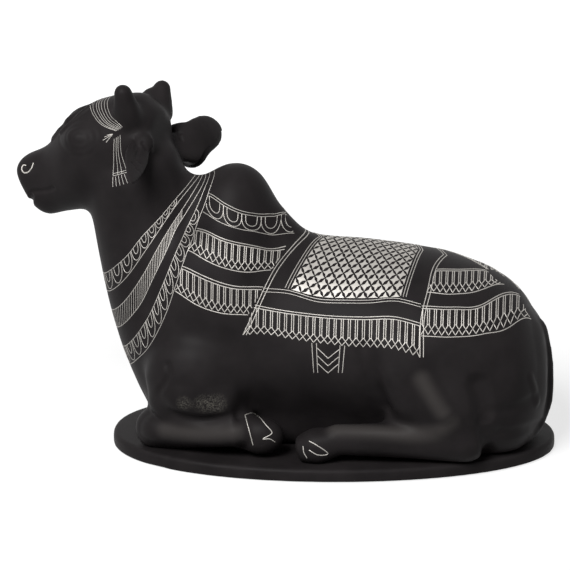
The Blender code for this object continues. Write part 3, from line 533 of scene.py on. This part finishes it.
SOFT_BROW = ((BESIDE_BROW, 3, 20),)
FACE_STROKES = (  # stations along the face and round it, then radius and height
    (traced(FOREHEAD_EDGE), 2.4, 0.7), (traced(MOUTH), 1.3, -0.5),
    (traced(LIPS), 1.6, -0.6), (NOSTRIL, 1.5, -0.6))
FOREHEAD_HOLLOW = (4.5, -1.0)


def eye_ring(across, down):
    angles = [math.pi * i / 8 for i in range(17)]
    return [(EYE[0] + across * math.cos(angle), EYE[1] + down * math.sin(angle)) for angle in angles]


on_both_sides(soften, head_skin, SOFT_FEET, other_cheek)
soften(head_skin, seen_path(FAR_EAR_TOP, other_cheek)[0], *SOFT_EAR_TOP)
far_ear_foot = seen_path(FAR_EAR_FOOT, other_cheek)[0]
stroke(head_skin, far_ear_foot, *FAR_EAR_FILL)
soften(head_skin, far_ear_foot, *SOFT_EAR_FOOT)
skins.refresh()
on_both_sides(stroke, head_skin, BROW_STROKES, other_cheek)
on_both_sides(soften, head_skin, SOFT_BROW, other_cheek)
rings = [(eye_ring(across, down), radius, height) for across, down, radius, height in EYE_RINGS]
on_both_sides(stroke, head_skin, rings, other_cheek)
on_both_sides(stroke, head_skin, [(pixels, *EAR_LINE) for pixels in EAR_LINES], other_cheek)
for side in (1, -1):
    for stations, radius, height in FACE_STROKES:
        stroke(head_skin, face.path(stations, side), radius, height)
stroke(head_skin, face.path(FOREHEAD), *FOREHEAD_HOLLOW)
skins.refresh()
print("face sculpted")

# %% [markdown]
# Each casting gets its own piece of skin again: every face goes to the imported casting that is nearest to
# it. The seams don't show on the real figure, where they are filed flush, so each piece keeps the shading
# of the whole skin.

# %% Pieces
LIMB_REACH = 2 * MM  # how far outside a limb's box its skin may lie


def node_tree(node):
    bm = bmesh.new()
    bm.from_mesh(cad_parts[node].data)
    tree = BVHTree.FromBMesh(bm)
    bm.free()
    return tree


def part(skin, core, limbs):
    """Separates a skin into a piece for its core and one for each limb, in a dictionary by node."""
    normals = rows(skin.data.vertex_normals, "vector").ravel()
    skin.data.attributes.new("skin_normal", "FLOAT_VECTOR", "POINT").data.foreach_set("vector", normals)
    skin.data.materials.clear()
    for node in [core] + limbs:
        skin.data.materials.append(bpy.data.materials.new(node))
    core_tree = node_tree(core)
    for number, node in enumerate(limbs, start=1):
        limb_tree = node_tree(node)
        low, high = (Vector(corner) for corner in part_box(node))
        for polygon in skin.data.polygons:
            middle = polygon.center
            if all(low[i] - LIMB_REACH < middle[i] < high[i] + LIMB_REACH for i in range(3)):
                if limb_tree.find_nearest(middle)[3] < core_tree.find_nearest(middle)[3]:
                    polygon.material_index = number
    pick(skin)
    bpy.ops.mesh.separate(type="MATERIAL")
    pieces = {}
    for piece in bpy.context.selected_objects:
        node = piece.data.materials[0].name
        normals = rows(piece.data.attributes["skin_normal"].data, "vector")
        piece.data.shade_smooth()
        piece.data.normals_split_custom_set_from_vertices(normals)
        piece.data.attributes.remove(piece.data.attributes["skin_normal"])
        piece.name = piece.data.name = node + "_skin"
        pieces[node] = piece
        print(node, len(piece.data.polygons), "faces")
    return pieces


castings = part(body_skin, "body", LEGS_AND_TAIL) | part(head_skin, "head", HORNS_AND_EARS)

# %% [markdown]
# The plinth is an oval plate with a soft rim, cast by itself and dressed with a file. Subdivision rounds
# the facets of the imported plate.

# %% Plinth
plinth = castings["plinth"] = node_copy("plinth")
plinth.name = "plinth_plate"
modify(plinth, "SUBSURF", levels=2)
plinth.data.shade_smooth()
print("plinth:", len(plinth.data.polygons), "faces")

# %% [markdown]
# Silver wire is drawn as curves on the skin. A band lies between two rails; its pattern is drawn in
# shares along and across it, and each point is then set on the skin with a ray. The wire is half sunk in
# the casting, as hammered inlay is.

# %% Wires and bands
WIRE = 0.18 * MM  # radius, as in the next four lines
FINE_WIRE = 0.15 * MM
FRINGE_WIRE = 0.195 * MM
THIN_WIRE = 0.13 * MM
NOSTRIL_WIRE = 0.26 * MM
SINK = 0.08 * MM  # how far its middle lies under the skin
SAME = 1e-6  # millimetres; a place that moved less was not cut off


class Band:
    """The strip of skin between two rails."""

    def __init__(self, spine, upper, lower):
        self.spine, self.upper, self.lower = spine, rail(upper), rail(lower)

    def lay(self, strokes, side):
        """The strokes of a pattern as lines of points on the skin."""
        lines = []
        for shares in strokes:
            line = []
            for t, s in shares:
                along, degrees = self.upper(t) * (1 - s) + self.lower(t) * s
                point, normal = self.spine.place(along, side * degrees)
                line.append(point - normal * SINK)
            lines.append(line)
        return lines

    def lay_both(self, strokes):
        return [line for side in (1, -1) for line in self.lay(strokes, side)]


class UprightBand:
    """A strip of the flank whose pattern stands upright, cut off where its ends slant."""

    def __init__(self, spine, upper, lower):
        self.spine = spine
        self.front, self.rear = (upper[0][0], lower[0][0]), (upper[-1][0], lower[-1][0])
        self.first, self.last = min(self.front), max(self.rear)
        self.upper, self.lower = smooth(*zip(*upper)), smooth(*zip(*lower))

    def lay(self, strokes, side):
        lines = []
        for shares in strokes:
            spots = []
            for t, s in shares:
                along = self.first + (self.last - self.first) * t
                kept = min(max(along, self.front[0] * (1 - s) + self.front[1] * s),
                           self.rear[0] * (1 - s) + self.rear[1] * s)
                degrees = self.upper(kept) * (1 - s) + self.lower(kept) * s
                spots.append((kept, degrees, abs(kept - along) < SAME))
            line = []
            for i, (along, degrees, inside) in enumerate(spots):
                if inside or any(near[2] for near in spots[max(0, i - 1):i + 2]):
                    point, normal = self.spine.place(along, side * degrees)
                    line.append(point - normal * SINK)
                elif line:
                    lines.append(line)
                    line = []
            lines.append(line)
        return [line for line in lines if len(line) > 1]


def wires(name, lines, radius=WIRE):
    """One piece of wire for each line, all in one object."""
    curve = bpy.data.curves.new(name, "CURVE")
    curve.dimensions = "3D"
    curve.bevel_depth = radius
    curve.bevel_resolution = 1
    curve.use_fill_caps = True
    for line in lines:
        spline = curve.splines.new("POLY")
        spline.points.add(len(line) - 1)
        spline.points.foreach_set("co", [value for point in line for value in (*point, 1)])
    placed(name, curve)
    bpy.ops.object.convert(target="MESH")
    return bpy.context.object


def set_in(node, lines, radius=WIRE):
    """Makes the wires that stand for one node of the inlay."""
    inlay[node] = wires(node + "_wires", lines, radius)


def set_in_pair(name, both_lines, radius=WIRE):
    """The same for a node on the left of the bull and the one on its right."""
    for side_name, lines in zip(("left", "right"), both_lines):
        set_in(name + "_" + side_name, lines, radius)


inlay = {}
print("wire tools ready")

# %% [markdown]
# The patterns are the stock of the craft: bows, slanting bars and tongues that end in points, repeated
# along a band. Each is a list of lines in shares, t along the band and s across it, so that it can be
# bent to any band.

# %% Patterns
LENGTH_PIECES, BOW_STEPS, BAR_PIECES, ZIGZAG_PIECES = 72, 12, 5, 3
SCALLOP_BOWS = ((0.92, 0.90), (0.46, 0.52))  # share of a repeat, and depth as a share of the band
ROUNDEL_BOWS = ((1.02, 0.80, 0.7), (0.60, 0.54, 0.5))  # the same, and fullness
ROUNDEL_LINE, ROUNDEL_TOP = 0.12, 0.14  # the second line, and where the bows hang
FRINGE_LINE, TONGUE_HALF = 0.09, 0.35  # the second line, and half a tongue as a share of a repeat


def straight(*corners, pieces=4):
    """A line through corners, with points between them so that it can follow the skin."""
    line = [corners[0]]
    for (t0, s0), (t1, s1) in zip(corners, corners[1:]):
        line += [(t0 + (t1 - t0) * i / pieces, s0 + (s1 - s0) * i / pieces) for i in range(1, pieces + 1)]
    return line


def lengthwise(s):
    return straight((0, s), (1, s), pieces=LENGTH_PIECES)


def bow(t, width, top, depth, fullness=0.7):
    """A U that hangs from the top."""
    angles = [math.pi * i / BOW_STEPS for i in range(BOW_STEPS + 1)]
    return [(t - 0.5 * width * math.cos(angle), top + depth * math.sin(angle) ** fullness)
            for angle in angles]


def scallops(count, start):
    """Two lines with a row of double bows between them, from a share of their length on."""
    lines = [lengthwise(0), lengthwise(1)]
    width = (1 - start) / count
    for i in range(count):
        t = start + width * (i + 0.5)
        lines += [bow(t, share * width, 0, depth) for share, depth in SCALLOP_BOWS]
    return lines


def hatch(count, lean, start):
    """Slanting bars between two lines."""
    width = (1 - start) / count
    return [straight((start + i * width, 0), (min(1, start + (i + lean) * width), 1), pieces=BAR_PIECES)
            for i in range(count)]


def roundels(width, first):
    """A double line, a row of double bows of a width under it, and a single line."""
    lines = [lengthwise(0), lengthwise(ROUNDEL_LINE), lengthwise(1)]
    for i in range(-1, int(1 / width) + 1):
        t = first + width * i
        for share, depth, fullness in ROUNDEL_BOWS:
            lines.append(bow(t, share * width, ROUNDEL_TOP, depth, fullness))
    return lines


def fringe(count, waist, foot, hem):
    """A double line, a row of tongues that end in points, a row of diamonds, and perhaps a hem."""
    lines = [lengthwise(0), lengthwise(FRINGE_LINE)] + ([lengthwise(1)] if hem else [])
    middle = (waist + foot) / 2
    end = waist + (middle - waist) * (1 - 2 * TONGUE_HALF)
    zig, zag = [], []
    for i in range(count):
        for at in (0.5 - TONGUE_HALF, 0.5 + TONGUE_HALF):
            lines.append(straight(((i + at) / count, FRINGE_LINE), ((i + at) / count, end)))
        zig += [(i / count, waist), ((i + 0.5) / count, middle)]
        zag += [(i / count, foot), ((i + 0.5) / count, middle)]
    return lines + [straight(*zig, (1, waist), pieces=ZIGZAG_PIECES),
                    straight(*zag, (1, foot), pieces=ZIGZAG_PIECES)]


print("patterns ready")

# %% [markdown]
# The garlands round the neck. Their lines draw together at the nape and open towards the chest, as
# hanging flowers do. Two have bows between their lines, and the middle one has slanting bars.

# %% Garlands
GARLAND_RAILS = {  # millimetres along the neck, and degrees round it from the nape
    "garland_front": (
        ((62.8, 0), (63.6, 17.3), (64.8, 38.5), (66, 68.7), (67.9, 107.3), (68.3, 128.2), (69.6, 145.9),
         (72.2, 180)),
        ((61.3, 0), (62.1, 14.8), (62.8, 27.5), (63.2, 40.9), (63.5, 78.6), (63.5, 106.8),
         (63.5, 131.8), (66.8, 180))),
    "garland_middle": (
        ((60.4, 0), (60.3, 16.7), (60.2, 28.5), (60.4, 59.5), (59.9, 91.5), (58.8, 115.7),
         (58.5, 137.4), (60.8, 180)),
        ((59.5, 0), (58.6, 15.4), (58.2, 31.7), (58, 56.7), (56.6, 79), (55, 103), (53, 127.6),
         (53.1, 140.2), (55, 180))),
    "garland_rear": (
        ((58.6, 0), (57.3, 16.2), (55.6, 28), (54.5, 47), (53.3, 68.7), (50.5, 94.4), (47.7, 120.7),
         (47.1, 134.7), (48.3, 180)),
        ((57.7, 0), (55.6, 16.9), (53.6, 26.1), (51.5, 41.5), (49.8, 60.5), (46.7, 79.5), (43.1, 99.7),
         (40.8, 124.2), (41.1, 153.2), (41.5, 180))),
}
garland_patterns = {
    "garland_front": scallops(10, 0.2),
    "garland_middle": [lengthwise(0), lengthwise(1)],
    "garland_rear": scallops(14, 0.15),
}
garland_bars = hatch(46, 2, 0.2)
for node, rails in GARLAND_RAILS.items():
    band = Band(neck, *rails)
    set_in(node, band.lay_both(garland_patterns[node]), FINE_WIRE)
    if node == "garland_middle":
        bars = wires("bars", band.lay_both(garland_bars), THIN_WIRE)
        inlay[node] = joined(node + "_wires", [inlay[node], bars])
    print(node, len(inlay[node].data.polygons), "faces")

# %% [markdown]
# The bands on the shoulders, the saddle cloth and the rump, on both sides. They stand for fringed cloths,
# so their tongues hang straight down, however the ends of the cloth slant.

# %% Flank bands
FLANK_RAILS = {  # millimetres along the trunk, and degrees down its side from the ridge
    "withers_band": (
        ((-40.9, 10.1), (-35.3, 14.8), (-28.7, 16), (-21.8, 11), (-17.9, 5.2), (-16.1, 0.6)),
        ((-42.7, 14.1), (-37.1, 19.8), (-29.1, 21.6), (-21.6, 16.5), (-16, 11.6), (-13.1, 8.6))),
    "shoulder_fringe_upper": (
        ((-44.4, 19.3), (-36.4, 26.6), (-26.4, 26.8), (-15.5, 17)),
        ((-46.8, 30.5), (-40.7, 36.2), (-33.4, 39.6), (-26.6, 39.5), (-19.7, 35))),
    "shoulder_fringe_lower": (
        ((-48.7, 37), (-40.5, 43.1), (-31.3, 46.6), (-22, 45)),
        ((-50.8, 48), (-43.4, 56.1), (-35.8, 60.2), (-26.7, 60.7))),
    "saddle_hem": (
        ((-22, 45.5), (-14.9, 45.1), (-3.7, 50.2), (4.9, 50.7), (13, 50.5), (21.5, 48.9), (29.6, 51.9)),
        ((-22.4, 47.4), (-14.9, 47), (-3.7, 52), (4.9, 52.5), (13, 52.3), (21.5, 50.7), (29.6, 53.7))),
    "saddle_fringe": (
        ((-24.5, 54.9), (-11.7, 58.3), (0.8, 60.4), (11.3, 60.8), (21.7, 60.4), (29.5, 63.6)),
        ((-28.3, 72.8), (-21.7, 71.9), (-12.5, 74.5), (-0.9, 76.9), (9.2, 78.1), (21.9, 78.6),
         (29.8, 82.7))),
    "rump_fringe_upper": (
        ((34.4, 23), (41.5, 17.1), (50.6, 1.6)),
        ((31.5, 43.5), (39.9, 42.9), (49.6, 32.6), (56.4, 11.7))),
    "rump_fringe_lower": (
        ((30, 53.1), (40.1, 52.3), (49.7, 46.9), (61.4, 9.7)),
        ((30, 71), (40.3, 71.2), (50, 68.8), (59, 60.9), (65.5, 38.9))),
}
flank_patterns = {
    "withers_band": roundels(0.207, 0.13),
    "shoulder_fringe_upper": fringe(15, 0.62, 0.95, hem=True),
    "shoulder_fringe_lower": fringe(14, 0.62, 0.95, hem=True),
    "saddle_hem": [lengthwise(0), lengthwise(1)],
    "saddle_fringe": fringe(25, 0.70, 1.0, hem=False),
    "rump_fringe_upper": fringe(12, 0.60, 0.95, hem=True),
    "rump_fringe_lower": fringe(16, 0.60, 0.95, hem=True),
}
for name, rails in FLANK_RAILS.items():
    band = UprightBand(trunk, *rails)
    radius = FRINGE_WIRE if "fringe" in name else FINE_WIRE
    set_in_pair(name, [band.lay(flank_patterns[name], side) for side in (1, -1)], radius)
    print(name, len(flank_patterns[name]), "lines a side")

# %% [markdown]
# The borders and the field of the saddle cloth cross the ridge of the back. The field is cut from sheet
# silver: rows of four-pointed stars, which leave a lattice of black between them. Each star is a flat fan
# of triangles on the skin, a little uneven, as they are when cut by hand.

# %% Saddle
FRONT_BORDER = ((-9.6, 0), (-10, 4.2), (-15.9, 23.3), (-20.8, 42.5), (-23.5, 53.1), (-28.3, 72.8))
REAR_BORDER = ((36.2, 0), (33, 22.5), (31.5, 43.5), (29.8, 61.2), (29.8, 82.7))
BORDER_WIDTH = 1.1  # millimetres between the two lines of a border
PANEL_FRONT, PANEL_REAR = ((-5, 0), (-10, 22), (-14.9, 44)), ((29.3, 0), (27.2, 24), (24.7, 47.8))
PANEL_FOOT = ((-14.9, 43.8), (-3.7, 48.9), (4.9, 49.4), (13, 49.2), (24.7, 47.6))
PANEL_COLUMNS, PANEL_ROWS = 20, 12  # half cells along the panel and down one side of it
PANEL_EDGES, EDGE_STEPS = (0, 0.024, 0.976, 1), 30  # shares of its length, and steps down one side
STAR_TIP, STAR_WAISTS = 0.87, (0.68, 0.52)  # shares of a half cell
STAR_CHANCE, STAR_SEED = 0.05, 4  # how much the shares vary
STAR_MARGIN = 0.045  # share of the panel's length kept for the edge lines
STAR_LIFT = 0.10 * MM

for node, border in (("saddle_front_border", FRONT_BORDER), ("saddle_rear_border", REAR_BORDER)):
    other = [(along + BORDER_WIDTH, degrees) for along, degrees in border]
    band = Band(trunk, border, other)
    set_in(node, band.lay_both([lengthwise(0), lengthwise(1)]))

front, rear, foot = rail(PANEL_FRONT), rail(PANEL_REAR), rail(PANEL_FOOT)


def on_panel(u, v):
    """A place on the panel: u from its front to its rear, v from its left edge (-1) over the ridge to 1."""
    u, down = min(1, max(0, u)), min(1, abs(v))
    degrees = foot(u)[1] * down
    along = (1 - u) * front(down)[0] + u * rear(down)[0]
    point, normal = trunk.place(along, math.copysign(degrees, -v))
    return point + normal * STAR_LIFT


bm = bmesh.new()
chance = np.random.default_rng(STAR_SEED)
for column in range(PANEL_COLUMNS + 1):
    for row in range(-PANEL_ROWS, PANEL_ROWS + 1):
        if (column + row) % 2 == 1:
            places = [(column, row)]
            for corner in range(8):
                angle = math.pi / 4 * corner
                reach = STAR_TIP if corner % 2 == 0 else STAR_WAISTS[corner // 2 % 2] * math.sqrt(0.5)
                reach += chance.uniform(-STAR_CHANCE, STAR_CHANCE)
                across = min(PANEL_COLUMNS, max(0, column + reach * math.cos(angle)))
                places.append((across, row + reach * math.sin(angle)))
            middle, *rim = [bm.verts.new(on_panel(
                STAR_MARGIN + (1 - 2 * STAR_MARGIN) * across / PANEL_COLUMNS, down / PANEL_ROWS))
                for across, down in places]
            for first, second in zip(rim, rim[1:] + rim[:1]):
                if (first.co - second.co).length > MERGE_GAP:
                    bm.faces.new((middle, first, second))
stars = bpy.data.meshes.new("saddle_panel_stars")
bm.to_mesh(stars)
bm.free()
edges = [[on_panel(u, i / EDGE_STEPS) - UP * STAR_LIFT for i in range(-EDGE_STEPS, EDGE_STEPS + 1)]
         for u in PANEL_EDGES]
inlay["saddle_panel"] = joined(
    stars.name, [placed(stars.name, stars), wires("edges", edges, FINE_WIRE)])
print("stars:", len(stars.polygons), "faces")

# %% [markdown]
# A pendant hangs from the middle of the saddle's fringe: four upright wires, and three points between.

# %% Pendant
PENDANT_TOP, PENDANT_FOOT = ((-5.6, 76.5), (0, 77), (5.2, 77.5)), ((-4.9, 94.6), (0, 94.2), (4.5, 93.6))
PENDANT_UPRIGHTS = (0, 0.14, 0.86, 1)
POINT_ENDS, POINT_TIPS, POINT_RISE = (0.16, 0.84), (0.49, 0.75, 1.01), 0.33

pendant = Band(trunk, PENDANT_TOP, PENDANT_FOOT)
pendant_pattern = [straight((t, 0), (t, 1)) for t in PENDANT_UPRIGHTS]
for tip in POINT_TIPS:
    front_end, rear_end = ((t, tip - POINT_RISE) for t in POINT_ENDS)
    pendant_pattern.append(straight(front_end, (0.5, tip), rear_end))
set_in_pair("saddle_pendant", [pendant.lay(pendant_pattern, side) for side in (1, -1)])
print("pendant:", len(pendant_pattern), "lines a side")

# %% [markdown]
# The forehead band, its tassels and the curls at the nostrils. The band is a bundle of fine wires. It
# ends in a small flower on each side, and a tassel hangs from there in front of the ear.

# %% Head inlay
BAND_FRONT = ((15.6, 0), (15.2, 15.9), (12, 35.5), (7.7, 48.9), (3.2, 55.5))
BAND_REAR = ((9.5, 0), (8.8, 16), (7.1, 30.2), (4.6, 42.2), (0.6, 53.5))
BAND_STRANDS = (0, 0.14, 0.34, 0.48, 0.64, 0.82, 1)
TASSEL_FRONT = ((4.2, 62), (5.6, 85), (6.8, 106), (7.3, 120))
TASSEL_REAR = ((2.1, 58.4), (2.9, 86), (1.9, 108), (0.7, 119))
NOSTRIL_CURL = (
    (33.6, 163), (31.4, 168.5), (28, 172.2), (24.6, 172.8),
    (22.2, 170.6), (22, 167.2), (23.8, 165), (26.4, 165.6))
FLOWER, FLOWER_ROOT = ((6.5, 58.5), (7.6, 60.5), (8.2, 64), (7.2, 66.5)), (4.6, 58)
TASSEL_STRANDS, STRAND_ENDS, STRAND_PIECES = (0, 0.36, 0.64, 1), (0.02, 0.80), 24
TASSEL_TIES, TASSEL_TUFTS, TUFT_TOP = (0.77, 0.81), (0, 0.2, 0.4, 0.6, 0.8, 1), 0.83

band = Band(face, BAND_FRONT, BAND_REAR)
strands = [lengthwise(s) for s in BAND_STRANDS]
set_in("forehead_band", band.lay_both(strands), THIN_WIRE)
tassel = Band(face, TASSEL_FRONT, TASSEL_REAR)
tassel_pattern = [straight(*((t, s) for t in STRAND_ENDS), pieces=STRAND_PIECES) for s in TASSEL_STRANDS]
tassel_pattern += [straight((t, 0), (t, 1)) for t in TASSEL_TIES]
tassel_pattern += [straight((TUFT_TOP, s), (1, s)) for s in TASSEL_TUFTS]
tassels = []
for side in (1, -1):
    root = face.path([FLOWER_ROOT], side)[0]
    flower = [[root, tip] for tip in face.path(FLOWER, side)]
    tassels.append(tassel.lay(tassel_pattern, side) + flower)
set_in_pair("tassel", tassels, THIN_WIRE)
set_in_pair("nostril_curl", [[line] for line in seen_path(NOSTRIL_CURL, other_cheek)], NOSTRIL_WIRE)
print("head inlay done")

# %% [markdown]
# Each hoof has a few curled wires that stand for its cleft. Their places come from the picture and are
# mirrored to the right.

# %% Hoof curls
FORE_CURL = (
    ((245, 415), (249, 430), (253, 445)),
    ((245, 415), (252, 413), (259, 417), (266, 425), (272, 433), (263, 439), (270, 439), (275, 442)))
HIND_CURL = (
    ((309, 441), (318, 446), (328, 454), (318, 455), (309, 450)),
    ((303, 446), (304, 453), (307, 458)))

for leg, curl in (("foreleg", FORE_CURL), ("hindleg", HIND_CURL)):
    set_in_pair(leg + "_hoof_curl", zip(*(seen_path(pixels, other_side) for pixels in curl)))
print("inlay pieces:", len(inlay))

# %% [markdown]
# Now the finishes. A material is a sum of small influences, such as clouds, specks and painted highlights.
# A small class lets such a sum be written as one line of Python, which adds the shader nodes as it is
# worked out.

# %% Shader expressions
class Field:
    """A shader value. Python's operators on it add Math nodes, and node() adds any other node."""

    def __init__(self, tree, socket=None):
        self.tree, self.socket = tree, socket

    def node(self, kind, settings, sockets, output=0):
        made = self.tree.nodes.new(kind)
        for name, value in settings.items():
            setattr(made, name, value)
        for name, value in sockets.items():
            if isinstance(value, Field):
                self.tree.links.new(value.socket, made.inputs[name])
            else:
                made.inputs[name].default_value = value
        return Field(self.tree, made.outputs[output])

    def maths(self, operation, first, second):
        return self.node("ShaderNodeMath", {"operation": operation}, {0: first, 1: second})

    def blend(self, share, first, second):
        """A colour between two others."""
        first, second = ((*tone, 1) if isinstance(tone, tuple) else tone for tone in (first, second))
        return self.node("ShaderNodeMix", {"data_type": "RGBA"}, {0: share, 6: first, 7: second}, 2)

    def ramp(self, value, zero, one):
        """0 at one value and 1 at another, and no more beyond them."""
        return self.node("ShaderNodeMapRange", {}, {"Value": value, "From Min": zero, "From Max": one})

    def feed(self, shader, name):
        self.tree.links.new(self.socket, shader.inputs[name])

    def __add__(self, other):
        return self.maths("ADD", self, other)

    __radd__ = __add__

    def __mul__(self, other):
        return self.maths("MULTIPLY", self, other)


def new_finish(name):
    """A material with its Principled shader, and a Field to start expressions from."""
    made = bpy.data.materials.new(name)
    made.use_nodes = True
    return made, made.node_tree.nodes["Principled BSDF"], Field(made.node_tree)


def grain(field, scale, detail=3, roughness=0.55):
    """Noise in the piece's own coordinates. Scale is in waves per metre."""
    place = field.node("ShaderNodeTexCoord", {}, {}, "Object")
    return field.node("ShaderNodeTexNoise", {}, {
        "Vector": place, "Scale": scale, "Detail": detail, "Roughness": roughness}, "Fac")


print("shader expressions ready")

# %% [markdown]
# The black comes from a paste of earth that bites into the zinc but not into the silver. It is a satin
# black, a little cloudy, with fine pits from the casting. The ridges of the legs get a painted highlight, a
# lighter tone, and where the elbow is worn through, specks of bright metal show.

# %% Black patina
WORN = ((184, 404, 3.2), (204, 405, 4.2), (216, 404, 4.2))  # pixels, and millimetres round them
WORN_CORE = 0.3  # share of that reach which is worn fully
DEEP_BLACK, CLOUDED_BLACK = (0.0112, 0.0098, 0.0102), (0.0168, 0.0147, 0.0152)
# painted highlight on the ridges of the legs, then bare metal where the elbow is worn
PAINTED_HIGHLIGHT_BLACK, BARE_METAL = (0.036, 0.0325, 0.0315), (0.085, 0.080, 0.070)
CLOUD_WAVES, SPECK_WAVES, WORN_WAVES = 90, 1400, 1900  # per metre
SATIN, CLOUD_ROUGHNESS, SPECK_ROUGHNESS = 0.43, 0.08, 0.08
PIT_STRENGTH, PIT_DEPTH = 0.10, 0.1 * MM
PATINA_SPECULAR = 0.05

patina, shader, field = new_finish("black_patina")
cloud = field.ramp(grain(field, CLOUD_WAVES), 0.32, 0.68)
speck = grain(field, SPECK_WAVES, detail=4, roughness=0.7)
tone = field.blend(cloud, DEEP_BLACK, CLOUDED_BLACK)
place = field.node("ShaderNodeTexCoord", {}, {}, "Object")
worn = 0.0
for x, y, reach in WORN:
    for point in (spot(x, y), other_side(spot(x, y))):
        gap = field.node("ShaderNodeVectorMath", {"operation": "DISTANCE"}, {0: place, 1: point}, "Value")
        worn = worn + field.ramp(gap, reach * MM, WORN_CORE * reach * MM)
# painted highlight: a lighter tone on the marked ridges of the legs
painted_highlight = field.node("ShaderNodeAttribute", {"attribute_name": "painted_highlight"}, {}, "Fac")
tone = field.blend(painted_highlight, tone, PAINTED_HIGHLIGHT_BLACK)
worn = worn * field.ramp(grain(field, WORN_WAVES, detail=5, roughness=0.75), 0.45, 0.62)
field.blend(worn, tone, BARE_METAL).feed(shader, "Base Color")
(SATIN + cloud * CLOUD_ROUGHNESS + speck * SPECK_ROUGHNESS).feed(shader, "Roughness")
relief = field.node("ShaderNodeBump", {}, {
    "Strength": PIT_STRENGTH, "Distance": PIT_DEPTH, "Height": speck})
relief.feed(shader, "Normal")
shader.inputs["Specular IOR Level"].default_value = PATINA_SPECULAR
print(patina.name, len(patina.node_tree.nodes), "nodes")

# %% [markdown]
# Silver wire that has been hammered and rubbed: bright, uneven, a little yellowed in places. Tarnish
# makes it both darker and rougher, so one noise drives the two.

# %% Silver
BRIGHT_SILVER, TARNISHED_SILVER = (0.52, 0.50, 0.47), (0.30, 0.285, 0.265)
TARNISH_WAVES = 260  # per metre
HAMMERED, TARNISH_ROUGHNESS = 0.50, 0.2

silver, shader, field = new_finish("inlaid_silver")
tarnish = grain(field, TARNISH_WAVES, detail=4)
field.blend(tarnish, BRIGHT_SILVER, TARNISHED_SILVER).feed(shader, "Base Color")
(HAMMERED + tarnish * TARNISH_ROUGHNESS).feed(shader, "Roughness")
shader.inputs["Metallic"].default_value = 1
print(silver.name, len(silver.node_tree.nodes), "nodes")

# %% [markdown]
# Every piece takes its finish and is attached to the root, and the imported piece that it stands for is
# hidden.

# %% Dressing
for pieces, finish, slot in ((castings, patina, "casting"), (inlay, silver, "inlay")):
    for node, piece in pieces.items():
        piece.data.materials.clear()
        piece.data.materials.append(finish)
        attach(piece, "root")
        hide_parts(node)
print("dressed:", len(castings), "castings,", len(inlay), "inlay pieces")

# %% [markdown]
# A white studio. The floor and the backdrop are white where the camera or a reflection sees them, but
# they give little light themselves, so that the black stays black. A large soft lamp stands at the front
# left, a weaker one at the right.

# %% Floor and light
FLOOR_SIZE, FLOOR_DROP = 12, 0.0002  # metres; the floor lies a hair under the plinth
FLOOR_FINISH = {
    "Base Color": (0.32, 0.32, 0.32, 1), "Roughness": 0.9, "Specular IOR Level": 0, "Emission Strength": 1}
FLOOR_GLOW = 0.76  # what the floor adds to its lit grey near the object; further off it adds 1
GLOW_FROM, GLOW_TO = 0.12, 0.45  # metres from the object
BACKDROP_LIGHT = 0.03  # light from the backdrop on the object; it is seen as 1
LAMP_AIM = Vector((0, 0, 0.05))
LAMPS = {"key": ((-0.6, -1.45, 1.45), 0.9, 57), "fill": ((1.2, -1.0, 1.4), 1.2, 2)}  # place, size, watts


def seen_share(field):
    """1 for rays from the camera, a reflection or a clear body, and 0 for the others."""
    light_path = field.tree.nodes.new("ShaderNodeLightPath")
    camera_ray, glossy, through = (Field(field.tree, light_path.outputs[name]) for name in (
        "Is Camera Ray", "Is Glossy Ray", "Is Transmission Ray"))
    return field.ramp(camera_ray + glossy + through, 0, 1)


unpick()
bpy.ops.mesh.primitive_plane_add(size=FLOOR_SIZE, location=(0, 0, -FLOOR_DROP))
floor = bpy.context.object
floor.name = "floor"
chalk, shader, field = new_finish("pale_floor")
for name, value in FLOOR_FINISH.items():
    shader.inputs[name].default_value = value
place = field.node("ShaderNodeTexCoord", {}, {}, "Object")
away = field.node("ShaderNodeVectorMath", {"operation": "LENGTH"}, {0: place}, "Value")
glow = FLOOR_GLOW + field.ramp(away, GLOW_FROM, GLOW_TO) * (1 - FLOOR_GLOW)
(seen_share(field) * glow).feed(shader, "Emission Color")
floor.data.materials.append(chalk)

for name, (place, size, watts) in LAMPS.items():
    unpick()
    facing = (Vector(place) - LAMP_AIM).to_track_quat("Z", "Y").to_euler()
    bpy.ops.object.light_add(type="AREA", location=place, rotation=facing)
    lamp = bpy.context.object
    lamp.name = name
    lamp.data.shape, lamp.data.size, lamp.data.energy = "DISK", size, watts

world = bpy.context.scene.world = bpy.data.worlds.new("studio")
world.use_nodes = True
sky = world.node_tree.nodes["Background"]
sky.inputs["Strength"].default_value = 1
backdrop = Field(world.node_tree)
(BACKDROP_LIGHT + seen_share(backdrop) * (1 - BACKDROP_LIGHT)).feed(sky, "Color")
bpy.context.scene.view_settings.view_transform = "Standard"
print("studio ready:", len(bpy.data.lights), "lamps")
